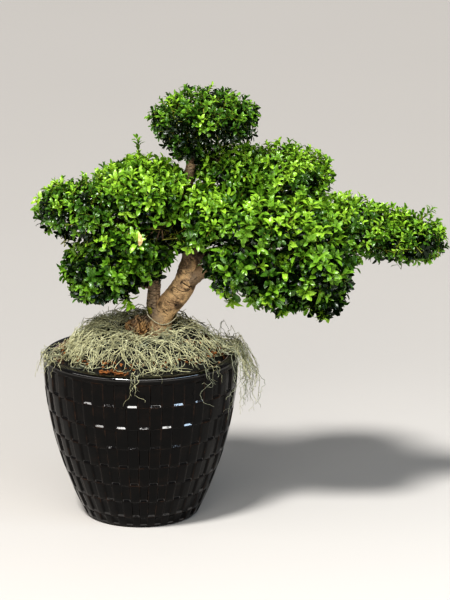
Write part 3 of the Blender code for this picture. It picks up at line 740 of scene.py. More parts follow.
@dataclass
class GlazedPot:
    """A round black pot whose wall carries a chequer of raised and sunk tiles."""

    height: float = 0.305
    rim_radius: float = 0.180
    foot_radius: float = 0.104
    foot_bevel: float = 0.004
    foot_turn: Pair = (0.0012, 0.0009)
    wall: float = 0.011
    floor: float = 0.018
    lip_inside: float = 0.1602
    lip_rise: float = 0.0070
    lip_top: float = 0.3062
    lip_square: float = 0.62
    lip_points: int = 19
    lip_glossy: int = 12
    band_top: float = 0.2955
    inside_points: int = 20
    inside_top: float = 0.2975
    shoulder: Pair = (0.281, 0.0165)
    shoulder_thickness: float = 0.0085
    tiles_around: int = 52
    tile_turn: float = math.radians(-97.0)
    first_row_top: float = 0.293
    first_row_height: float = 0.0435
    row_shrink: float = 0.96
    sink: float = 0.0029
    sink_spread: float = 0.04
    slope: float = 0.0022
    ledge: float = 0.0047
    ledge_most: float = 0.17
    corner: float = 0.0020
    crown: float = 0.0004
    column_marks: tuple[float, ...] = (0.0, 0.04, 0.085, 0.135, 0.24, 0.5, 0.76, 0.865, 0.915, 0.96)
    ledge_marks: tuple[float, ...] = (0.0, 0.15, 0.5, 0.85, 1.0, 1.2)
    row_marks: tuple[float, ...] = (0.22, 0.5, 0.80, 0.91, 0.945, 0.975)
    seed: int = 3

    def radius(self, height: float) -> float:
        """The outer radius, a parabola that stands upright at the rim."""
        fall = 1 - height / self.height
        return self.rim_radius - (self.rim_radius - self.foot_radius) * fall * fall

    def row_heights(self) -> list[float]:
        """Heights between the rows of tiles, from the lowest up.

        Returns:
            The heights, with the foot's bevel first.
        """
        heights, row = [self.first_row_top], self.first_row_height
        while heights[-1] - row > self.foot_bevel:
            heights.append(heights[-1] - row)
            row *= self.row_shrink
        return [self.foot_bevel, *heights[::-1]]

    def relief(self, across: Array, up: float, width: float, tall: float, depth: Array) -> Array:
        """How far the tiles stand out along one line round the pot.

        Args:
            across: Place in the tile from one side to the other, 0 to 1, at each column.
            up: Place in the row from its foot to its top, 0 to 1.
            width: Width of a tile here.
            tall: Height of the row.
            depth: How deep the tile is sunk at each column.

        Returns:
            The offset from the plain wall at each column, with a flat ledge along the foot of the tile.
        """
        corner = self.corner / self.slope
        side = np.minimum(across, 1 - across) * width / self.slope
        end = min(up * tall / self.ledge, (1 - up) * tall / self.slope)
        round_off = np.hypot((corner - side).clip(0), max(corner - end, 0.0))
        inside = np.where(round_off > 0, corner - round_off, np.minimum(side, end)).clip(0, 1)
        flat = (side / corner).clip(0, 1)
        return -depth * (flat * inside + (1 - flat) * eased(inside))

    def tiled_rings(self) -> Iterator[tuple[Array, Array]]:
        """Goes up the tiled wall.

        Yields:
            The points of each ring, with the finish of the faces above it.
        """
        marks = np.array(self.column_marks)
        across = np.tile(marks, self.tiles_around)
        tile = np.repeat(np.arange(self.tiles_around), len(marks))
        angles = self.tile_turn + math.tau * (tile + across) / self.tiles_around
        at_side = (across == marks[0]) | (across == marks[-1])
        heights = self.row_heights()
        rng = np.random.default_rng(self.seed)
        depths = rng.normal(self.sink, self.sink * self.sink_spread, (len(heights), self.tiles_around))
        for row in range(len(heights) - 1):
            low, tall = heights[row], heights[row + 1] - heights[row]
            sunk = (tile + len(heights) - row) % 2 == 0
            depth = np.where(sunk, depths[row, tile], -self.crown)
            ledge = min(self.ledge / tall, self.ledge_most)
            ups = (*(ledge * mark for mark in self.ledge_marks), *self.row_marks)
            for step, up in enumerate(ups):
                z = low + up * tall
                radius = self.radius(z)
                width = math.tau * radius / self.tiles_around
                reach = radius + self.relief(across, up, width, tall, depth)
                finish = np.where(at_side | (step in (0, len(ups) - 1)), Glazed.EDGE, Glazed.FACE)
                finish[sunk & ~at_side & (0 < step < self.ledge_marks.index(1.0))] = Glazed.LEDGE
                yield round_axis(reach, z, angles), finish

    def lip(self) -> list[Pair]:
        """Goes up to the lip, over its broad, soft-edged top and down the inside.

        Returns:
            The (radius, height) of each ring.
        """
        middle, half = (self.rim_radius + self.lip_inside) / 2, (self.rim_radius - self.lip_inside) / 2
        turn = np.linspace(0, math.pi, self.lip_points)
        across = np.sign(np.cos(turn)) * np.abs(np.cos(turn)) ** self.lip_square
        rise = self.lip_rise * np.sin(turn).clip(0) ** self.lip_square
        over = zip(middle + half * across, self.lip_top - self.lip_rise + rise)
        levels = np.linspace(self.inside_top, self.floor, self.inside_points)
        foot, tall = self.shoulder
        thicker = self.shoulder_thickness * ((levels - foot) / tall).clip(0, 1)
        inside = [(self.radius(z) - self.wall - extra, z) for z, extra in zip(levels, thicker)]
        band = [(self.radius(z), z) for z in (self.first_row_top, self.band_top)]
        return [*band, *over, *inside]

    def build(self) -> None:
        """Makes the pot, with the tiles' edges and the inside in finishes of their own."""
        tiled, above = zip(*self.tiled_rings())
        angles = np.arctan2(tiled[0][:, 1], tiled[0][:, 0])
        inward, rise = self.foot_turn
        foot = [(self.foot_radius - self.foot_bevel, 0.0), (self.foot_radius - inward, rise)]
        foot_rings, lip_rings = ([round_axis(*at, angles) for at in line] for line in (foot, self.lip()))
        rings = np.stack([*foot_rings, *tiled, *lip_rings])
        finish = np.full((len(rings) - 1, len(angles)), Glazed.FACE)
        finish[len(foot) : len(foot) + len(above)] = above
        lip = len(rings) - self.inside_points - self.lip_points
        finish[lip : lip + self.lip_glossy] = Glazed.LEDGE
        # The lighter inside glaze carries painted light as well as the pot's own brownish grey.
        finish[lip + self.lip_glossy :] = Glazed.INSIDE
        points, faces = skinned(rings[None])
        finishes = [finish.ravel(), np.array([Glazed.FACE]), np.array([Glazed.INSIDE])]
        JoinedMesh().add(points, faces, finishes).place("tiled_pot", GLAZES, "glaze", "pot")


@dataclass
class PottingMix:
    """The mix that fills the pot, with chips of bark where the moss leaves it bare."""

    top: float = 0.310
    flat_radius: float = 0.106
    shoulder: Pair = (0.140, 0.298)
    edge: Pair = (0.169, 0.285)
    roughness: float = 0.0022
    crumbs: Pairs = ((1.0, 95.0), (0.6, 260.0))
    clearance: float = 0.0008
    sink: float = 0.001
    drop: float = 0.004
    middle: float = 0.004
    columns: int = 128
    wall_levels: int = 8
    top_circles: int = 46
    chips: int = 300
    chip_band: Pair = (0.128, 0.163)
    chip_lifts: Triple = (0.15, 0.004, 0.020)
    chip_size: Pair = (0.0035, 0.0085)
    chip_girth: Triple = (0.16, 0.30, 0.12)
    chip_tilt: float = 0.35
    chip_bend: float = 0.0006
    seed: int = 5

    def height(self, radius: Array) -> Array:
        """The top of the mix at that distance from the axis."""
        return np.interp(radius, [0.0, self.flat_radius, self.shoulder[0], self.edge[0]],
                         [self.top, self.top, self.shoulder[1], self.edge[1]])

    def build(self, pot: GlazedPot) -> None:
        """Makes the body of the mix and the chips that lie on it.

        Args:
            pot: The pot that it fills.
        """
        levels = np.linspace(pot.floor + self.clearance / 2, self.edge[1] - self.drop, self.wall_levels)
        wall = [(pot.radius(z) - pot.wall - self.clearance, z) for z in levels]
        over = np.linspace(self.edge[0] - self.sink, self.middle, self.top_circles)
        profile = np.array([*wall, *zip(over, self.height(over) - self.sink)])
        points, faces = skinned(round_axis(profile[None, :, :1], profile[None, :, 1:], even_angles(self.columns)))
        top = points[len(wall) * self.columns :]
        top[:, 2] += self.roughness * np.array([layered(Vector(point), self.crumbs) for point in top])
        JoinedMesh().add(points, faces).place("mix_body", [SOIL], "potting_mix", "potting_mix")
        self.scatter_chips()

    def scatter_chips(self) -> None:
        """Strews wedge-shaped chips of bark round the edge of the mix."""
        rng = np.random.default_rng(self.seed)
        angle = rng.uniform(0, math.tau, self.chips)
        radius = rng.uniform(*self.chip_band, self.chips)
        shore, outside, under_moss = self.chip_lifts
        lift = np.where(radius > shore, outside, under_moss)
        self.lay_chips("bark_chips", round_axis(radius, self.height(radius) + lift, angle), rng)

    def lay_chips(self, name: str, centres: Array, rng: Chance) -> None:
        """Makes one piece of chips of bark.

        Args:
            name: The piece's name.
            centres: The middle of each chip.
            rng: The seeded source of chance.
        """
        along = unit(rng.normal(size=centres.shape) * [1.0, 1.0, self.chip_tilt])
        size = rng.uniform(*self.chip_size, len(centres))[:, None]
        paths = centres[:, None] + along[:, None] * size[:, None] * np.array([-0.5, 0.0, 0.5])[:, None]
        paths[:, 1] += rng.normal(scale=self.chip_bend, size=centres.shape)
        finish = SoilFinish(name, (0.060, 0.023, 0.008), (0.290, 0.120, 0.032))
        JoinedMesh().add(*tubes(paths, size * self.chip_girth, 4)).place(name, [finish], "potting_mix")


# Limbs


class LimbShape(NamedTuple):
    """A tapering limb through (x, y, z, radius) points, and how many sides its mesh has."""

    name: str
    sides: int
    points: tuple[tuple[float, float, float, float], ...]


TRUNK = LimbShape("trunk", 84, (
    (0.024, 0.022, 0.3103, 0.0400), (0.028, 0.021, 0.3350, 0.0310), (0.034, 0.020, 0.3580, 0.0240),
    (0.0475, 0.0185, 0.3860, 0.0218), (0.0670, 0.0175, 0.4100, 0.0214), (0.0835, 0.0155, 0.4370, 0.0212),
    (0.0890, 0.0150, 0.4630, 0.0190), (0.090, 0.015, 0.4830, 0.0130),
))
LEFT_STEM = LimbShape("left_stem", 48, (
    (0.040, 0.018, 0.3560, 0.0140), (0.025, 0.017, 0.3860, 0.0130), (0.0245, 0.017, 0.4130, 0.0120),
    (0.026, 0.016, 0.4350, 0.0112), (0.022, 0.010, 0.4520, 0.0100),
))
BOUGHS = (
    LimbShape("leader", 32, (
        (0.089, 0.015, 0.4660, 0.0135), (0.091, 0.016, 0.5000, 0.0142), (0.088, 0.018, 0.5450, 0.0125),
        (0.086, 0.020, 0.5900, 0.0110), (0.090, 0.023, 0.6300, 0.0095), (0.094, 0.026, 0.6560, 0.0085),
    )),
    LimbShape("right_bough", 28, (
        (0.086, 0.012, 0.4380, 0.0170), (0.110, 0.006, 0.4550, 0.0135), (0.132, -0.006, 0.4680, 0.0105),
        (0.148, -0.018, 0.4780, 0.0095),
    )),
    LimbShape("arm_bough", 20, (
        (0.090, 0.019, 0.4740, 0.0110), (0.130, 0.034, 0.4840, 0.0108), (0.190, 0.048, 0.4960, 0.0098),
        (0.270, 0.046, 0.5020, 0.0086), (0.350, 0.026, 0.5000, 0.0074),
    )),
    LimbShape("front_upper_bough", 16, (
        (0.090, 0.017, 0.5150, 0.0085), (0.113, 0.000, 0.5260, 0.0080), (0.140, -0.018, 0.5360, 0.0070),
    )),
    LimbShape("upper_right_bough", 16, (
        (0.087, 0.021, 0.5980, 0.0080), (0.106, 0.029, 0.6080, 0.0076), (0.124, 0.035, 0.6160, 0.0066),
    )),
    LimbShape("hump_bough", 16, (
        (0.087, 0.018, 0.5540, 0.0085), (0.072, 0.012, 0.5660, 0.0078), (0.058, 0.008, 0.5760, 0.0068),
    )),
    LimbShape("left_tip_bough", 16, (
        (0.091, 0.014, 0.5060, 0.0100), (0.060, 0.020, 0.5280, 0.0094), (0.010, 0.022, 0.5420, 0.0082),
        (-0.044, 0.006, 0.5520, 0.0068),
    )),
    LimbShape("low_left_bough", 16, (
        (0.025, 0.017, 0.4260, 0.0070), (-0.002, 0.008, 0.4330, 0.0062), (-0.034, -0.004, 0.4360, 0.0052),
    )),
    LimbShape("back_left_bough", 16, (
        (0.086, 0.020, 0.5740, 0.0080), (0.070, 0.046, 0.5860, 0.0074), (0.052, 0.068, 0.5930, 0.0064),
    )),
    LimbShape("back_middle_bough", 16, (
        (0.090, 0.017, 0.5050, 0.0080), (0.089, 0.036, 0.5120, 0.0074), (0.087, 0.056, 0.5180, 0.0066),
    )),
    LimbShape("back_right_bough", 16, (
        (0.088, 0.018, 0.5400, 0.0085), (0.112, 0.056, 0.5480, 0.0080), (0.142, 0.094, 0.5510, 0.0070),
    )),
)
LIMBS = (TRUNK, LEFT_STEM, *BOUGHS)
BURR_CENTRE: Point = (-0.002, 0.009, 0.343)
LIMB_PLACES = np.concatenate([smooth_route(limb.points, 5) for limb in LIMBS])


def clear_of_limbs(points: Array, clearance: float) -> Array:
    """True for each point that is that far outside every limb."""
    away = np.linalg.norm(points[..., None, :] - LIMB_PLACES[:, :3], axis=-1)
    return (away > LIMB_PLACES[:, 3] + clearance).all(-1)


class Crack(NamedTuple):
    """Cracks that split the burr: their scale and shift on it, their width and their depth."""

    scale: float
    shift: Point
    width: float
    depth: float


@dataclass
class Woodwork:
    """The trunk with its burr, the left stem and the boughs, all with the relief of their bark."""

    ring_steps: int = 15
    bough_steps: int = 9
    flare_top: float = 0.380
    soil_top: float = 0.310
    flare_lobes: tuple[tuple[int, float, float], ...] = ((3, 0.10, 0.6), (5, 0.07, 2.1), (9, 0.035, 0.9))
    flare_stretch: float = 0.25
    lumps: Pairs = ((0.085, 34.0), (0.035, 95.0))
    grain: Pair = (0.00035, 330.0)
    crease_depth: float = 0.0011
    crease_width: float = 0.12
    crease_scales: Pair = (26.0, 150.0)
    burr_divisions: int = 6
    burr_lumps: Pairs = ((0.30, 1.9), (0.10, 4.5))
    burr_cracks: tuple[Crack, ...] = (
        Crack(2.1, (7.0, 3.0, 1.0), 0.12, 0.46), Crack(3.4, (1.0, 9.0, 4.0), 0.09, 0.20),
        Crack(6.0, (0.0, 0.0, 0.0), 0.12, 0.06),
    )
    burr_lift: float = 0.0006
    burr_radii: Point = (0.0260, 0.0275, 0.0305)
    groove_angle: float = math.radians(-38.0)
    groove_width: float = 0.34
    groove_depth: float = 0.0042
    tie_radius: float = 0.0010
    tie_points: tuple[Point, ...] = (
        (0.0118, 0.0030, 0.3800), (0.0150, -0.0040, 0.3755), (0.0265, -0.0070, 0.3656), (0.0399, -0.0078, 0.3600),
        (0.0535, -0.0040, 0.3624), (0.0650, 0.0080, 0.3690), (0.0660, 0.0280, 0.3740), (0.0520, 0.0450, 0.3780),
        (0.0300, 0.0470, 0.3810), (0.0130, 0.0330, 0.3830), (0.0100, 0.0150, 0.3830), (0.0125, 0.0030, 0.3795),
    )

    def flare(self, angle: float, height: float) -> float:
        """How much the root flare swells the trunk.

        Args:
            angle: The way that the bark faces.
            height: The height over the ground.

        Returns:
            The factor on the trunk's radius.
        """
        share = max(0.0, (self.flare_top - height) / (self.flare_top - self.soil_top)) ** 2
        lobes = sum(depth * math.cos(count * angle + phase) for count, depth, phase in self.flare_lobes)
        return 1 + share * (lobes + self.flare_stretch * math.cos(angle) ** 2)

    def relief(self, place: Vector, axis: Vector, radius: float) -> float:
        """How far the bark stands out at a place, in metres.

        Args:
            place: The place on the plain limb.
            axis: The middle of the limb there.
            radius: The limb's radius there.

        Returns:
            The offset, with lumps, fine grain and creases that run across the limb.
        """
        lumps = layered(place, self.lumps)
        across = crease((place - axis) * self.crease_scales[0] + axis * self.crease_scales[1], self.crease_width)
        dent = sum(self.knot_relief(place, knot) for knot in TRUNK_BARK.knots)
        dent -= sum(self.scar_depth(place, scar) for scar in TRUNK_BARK.scars)
        return layered(place, (self.grain,), radius * lumps - self.crease_depth * across) + dent

    @staticmethod
    def knot_relief(place: Vector, knot: Spot) -> float:
        """A raised ring with a hollow middle.

        Args:
            place: The place on the bark.
            knot: The knot.

        Returns:
            How far the bark stands out, in metres.
        """
        share = (place - Vector(knot.centre)).length / knot.radius
        if share > 2:
            return 0.0
        return knot.radius * (0.13 * math.exp(-(((share - 0.85) / 0.25) ** 2)) - 0.16 * math.exp(-((share / 0.5) ** 2)))

    @staticmethod
    def scar_depth(place: Vector, scar: Scar) -> float:
        """How deep a scar cuts at a place.

        Args:
            place: The place on the bark.
            scar: The scar.

        Returns:
            The depth in metres.
        """
        if (place - Vector(scar.middle)).length > scar.reach:
            return 0.0
        off = ((place - Vector(scar.centre)).length - scar.radius) / scar.width
        return 0.9 * scar.width * math.exp(-off * off)

    def limb(self, shape: LimbShape, steps: int) -> Shape:
        """One limb with the relief of its bark.

        Args:
            shape: Its named points.
            steps: Rings from one named point to the next.

        Returns:
            The corners and faces of the closed limb.
        """
        route = smooth_route(shape.points, steps)
        tangents = unit(np.gradient(route[:, :3], axis=0))
        side = Vector((0.0, 1.0, 0.0))
        rings = []
        for (x, y, z, radius), along in zip(route, tangents):
            tangent, axis = Vector(along), Vector((x, y, z))
            side = (side - tangent * side.dot(tangent)).normalized()
            up = tangent.cross(side)
            ring = []
            for angle in even_angles(shape.sides):
                spoke = up * math.cos(angle) + side * math.sin(angle)
                facing = math.atan2(spoke.y, spoke.x)
                swell = self.flare(facing, z) if shape is TRUNK else 1.0
                place = axis + spoke * radius * swell
                offset = self.relief(place, axis, radius)
                if shape is LEFT_STEM:
                    offset -= self.groove_depth * math.exp(-(((facing - self.groove_angle) / self.groove_width) ** 2))
                ring.append(place + spoke * offset)
            rings.append(ring)
        return skinned(np.array([rings]))

    def burr(self) -> Shape:
        """The lumpy burr at the left of the trunk's foot, split by deep cracks.

        Returns:
            Its corners and faces.
        """
        bm = bmesh.new()
        bmesh.ops.create_icosphere(bm, subdivisions=self.burr_divisions, radius=1.0)
        points = []
        for vertex in bm.verts:
            way = vertex.co.normalized()
            lump = layered(way, self.burr_lumps, 1.0)
            for crack in self.burr_cracks:
                lump -= crack.depth * crease(way * crack.scale + Vector(crack.shift), crack.width)
            place = Vector(BURR_CENTRE) + way * Vector(self.burr_radii) * lump
            place.z = max(place.z, self.soil_top + self.burr_lift)
            points.append(place)
        faces = np.array([[vertex.index for vertex in face.verts] for face in bm.faces])
        bm.free()
        return np.array(points), [faces]

    def build(self) -> None:
        """Makes the trunk and burr, the left stem, the boughs and the tie."""
        trunk, stem, boughs = JoinedMesh(), JoinedMesh(), JoinedMesh()
        trunk.add(*self.limb(TRUNK, self.ring_steps)).add(*self.burr(), finish=1)
        trunk.place("trunk_and_burr", [TRUNK_BARK, BURR_BARK], "bark", "trunk")
        stem.add(*self.limb(LEFT_STEM, self.ring_steps))
        stem.place("split_left_stem", [STEM_BARK], "bark", "left_stem")
        for shape in BOUGHS:
            boughs.add(*self.limb(shape, self.bough_steps))
        boughs.place("crown_boughs", [BOUGH_BARK], "bark", *(shape.name for shape in BOUGHS))
        self.build_tie()

    def build_tie(self) -> None:
        """Makes the loop of pale fibre that hangs slack round the foot of the trunk."""
        path = smooth_route(self.tie_points, 10)
        fibre = JoinedMesh().add(*tubes(path[None], np.full((1, len(path)), self.tie_radius), 8))
        fibre.place("trunk_tie", [TIE_FIBRE], "moss")


# Foliage


class Lobe(NamedTuple):
    """An ellipsoid that the leaf tips of a mass reach: its centre and its half sizes."""

    x: float
    y: float
    z: float
    wide: float
    deep: float
    high: float


class MassShape(NamedTuple):
    """A mass of foliage in its lobes, fed from the tip of a limb, with the size of its leaves and its tone, which
    shifts all its tints lighter or darker as painted light and shade.
    """

    name: str
    feeder: str
    leaf_scale: float
    # Painted light and shade: lifts the tints of a lit mass, darkens those of a shaded one.
    tone: float
    lobes: tuple[Lobe, ...]


class Sprig(NamedTuple):
    """A shoot that stands clear of its mass, from its root to its tip, with the size of its leaves."""

    mass: str
    root: Point
    tip: Point
    scale: float = 0.85


MASSES = (
    MassShape("top_dome", "leader", 0.82, -0.26, (
        Lobe(0.118, 0.030, 0.739, 0.104, 0.092, 0.062),
        Lobe(0.090, 0.026, 0.692, 0.044, 0.046, 0.034),
    )),
    MassShape("upper_right_cloud", "upper_right_bough", 0.86, 0.27, (
        Lobe(0.264, 0.075, 0.626, 0.094, 0.084, 0.062),
        Lobe(0.160, 0.040, 0.646, 0.072, 0.072, 0.053),
    )),
    MassShape("left_hump_cloud", "hump_bough", 1.00, 0.26, (
        Lobe(0.004, -0.004, 0.608, 0.092, 0.088, 0.066),
        Lobe(0.040, -0.030, 0.548, 0.070, 0.050, 0.044),
    )),
    MassShape("left_tip_cloud", "left_tip_bough", 0.88, -0.08, (
        Lobe(-0.108, -0.018, 0.582, 0.086, 0.080, 0.062),
    )),
    MassShape("lower_left_cloud", "left_stem", 1.14, 0.06, (
        Lobe(0.010, -0.006, 0.488, 0.050, 0.060, 0.044),
        Lobe(-0.060, -0.022, 0.474, 0.086, 0.076, 0.056),
        Lobe(-0.030, -0.034, 0.526, 0.076, 0.060, 0.042),
        Lobe(-0.076, -0.034, 0.440, 0.048, 0.048, 0.038),
    )),
    MassShape("front_upper_cloud", "front_upper_bough", 1.10, 0.15, (
        Lobe(0.228, -0.050, 0.560, 0.138, 0.084, 0.060),
        Lobe(0.120, -0.034, 0.582, 0.056, 0.060, 0.052),
        Lobe(0.100, -0.044, 0.542, 0.050, 0.044, 0.040),
    )),
    MassShape("front_lower_cloud", "right_bough", 1.24, -0.06, (
        Lobe(0.184, -0.064, 0.490, 0.068, 0.074, 0.066),
        Lobe(0.318, -0.052, 0.488, 0.074, 0.082, 0.076),
        Lobe(0.252, -0.062, 0.454, 0.060, 0.060, 0.060),
        Lobe(0.336, -0.056, 0.432, 0.044, 0.048, 0.046),
    )),
    MassShape("right_arm_cloud", "arm_bough", 0.86, 0.10, (
        Lobe(0.414, 0.018, 0.530, 0.090, 0.072, 0.060),
        Lobe(0.504, 0.022, 0.514, 0.062, 0.060, 0.052),
        Lobe(0.368, 0.012, 0.552, 0.054, 0.064, 0.048),
    )),
    MassShape("back_left_cloud", "back_left_bough", 0.86, 0.0, (
        Lobe(-0.004, 0.118, 0.600, 0.092, 0.080, 0.054),
    )),
    MassShape("back_middle_cloud", "back_middle_bough", 0.95, -0.10, (
        Lobe(0.080, 0.108, 0.528, 0.076, 0.062, 0.070),
    )),
    MassShape("back_right_cloud", "back_right_bough", 0.90, 0.0, (
        Lobe(0.236, 0.150, 0.552, 0.122, 0.086, 0.058),
    )),
)

SPRIGS = (
    Sprig("back_left_cloud", (0.000, 0.100, 0.625), (-0.007, 0.090, 0.697)),
    Sprig("right_arm_cloud", (0.500, 0.022, 0.540), (0.541, 0.020, 0.576)),
    Sprig("right_arm_cloud", (0.528, 0.020, 0.515), (0.548, 0.020, 0.555)),
    Sprig("top_dome", (0.055, 0.030, 0.735), (0.011, 0.030, 0.742)),
    Sprig("lower_left_cloud", (-0.077, -0.036, 0.445), (-0.083, -0.040, 0.408), 1.05),
    Sprig("lower_left_cloud", (-0.034, -0.042, 0.452), (-0.018, -0.052, 0.404), 1.30),
    Sprig("front_lower_cloud", (0.182, -0.066, 0.455), (0.166, -0.080, 0.417), 1.25),
    Sprig("front_lower_cloud", (0.176, -0.090, 0.470), (0.150, -0.112, 0.444), 1.20),
    Sprig("front_lower_cloud", (0.245, -0.080, 0.440), (0.262, -0.092, 0.402), 1.30),
    Sprig("front_lower_cloud", (0.236, -0.090, 0.460), (0.230, -0.116, 0.428), 1.20),
    Sprig("front_lower_cloud", (0.330, -0.074, 0.425), (0.334, -0.086, 0.391), 1.20),
    Sprig("front_lower_cloud", (0.300, -0.090, 0.470), (0.300, -0.124, 0.442), 1.20),
)

# The dark hollow at the front of the crown: its shoots get deeper tints, painted shade, and stand sparser.
HOLLOW = Lobe(0.048, -0.064, 0.552, 0.056, 0.060, 0.032)

LOBES = np.array([lobe for mass in MASSES for lobe in mass.lobes])
LOBE_OWNERS = np.array([number for number, mass in enumerate(MASSES) for _ in mass.lobes])


def lobe_depths(points: Array) -> Array:
    """About how far each point is outside each lobe.

    Args:
        points: The points, with their coordinates on the last axis.

    Returns:
        The distances, with a last axis for the lobes.
    """
    offset = (points[..., None, :] - LOBES[:, :3]) / LOBES[:, 3:]
    share = np.linalg.norm(offset, axis=-1)
    slope = np.linalg.norm(offset / LOBES[:, 3:], axis=-1)
    return share * (share - 1) / np.maximum(slope, 1e-6)


def groove_fill(points: Array, reach: float = 0.044) -> Array:
    """How far foliage stands out of its lobe where two lobes meet in a groove, as between two clouds that touch.

    Args:
        points: The points, with their coordinates on the last axis.
        reach: How wide a groove is.

    Returns:
        The distance for each point.
    """
    nearest = np.partition(lobe_depths(points), 1, axis=-1)
    share = (1 - (nearest[..., 1] - nearest[..., 0]) / reach).clip(0)
    return share * share * reach / 4


def hollow_share(points: Array) -> Array:
    """How far each point lies in the dark hollow at the front of the crown, from 0 at its edge to 1."""
    return (1 - np.linalg.norm((points - np.array(HOLLOW[:3])) / np.array(HOLLOW[3:]), axis=-1)).clip(0)


def in_space(mass: int, points: Array, overshoot: float, space: float) -> Array:
    """True for each point that keeps to the space of one mass.

    Args:
        mass: The number of the mass.
        points: The points, with their coordinates on the last axis.
        overshoot: How far one may stand out of the mass.
        space: How much nearer to its own mass than to another it has to be.

    Returns:
        One flag for each point.
    """
    depths = lobe_depths(points)
    own = depths[..., LOBE_OWNERS == mass].min(-1)
    other = depths[..., LOBE_OWNERS != mass].min(-1)
    return (own < overshoot + groove_fill(points)) & (own < other - space)


@dataclass
class Shoots:
    """Leafy shoots as arrays: where each leaves its twig, its foot, its tip, its tint and its leaves' size."""

    knots: Array
    feet: Array
    tips: Array
    tints: Array
    scale: Array
    leaves: int

    def kept(self, keep: Array) -> "Shoots":
        """Only the shoots that are flagged."""
        return Shoots(self.knots[keep], self.feet[keep], self.tips[keep], self.tints[keep], self.scale[keep],
                      self.leaves)


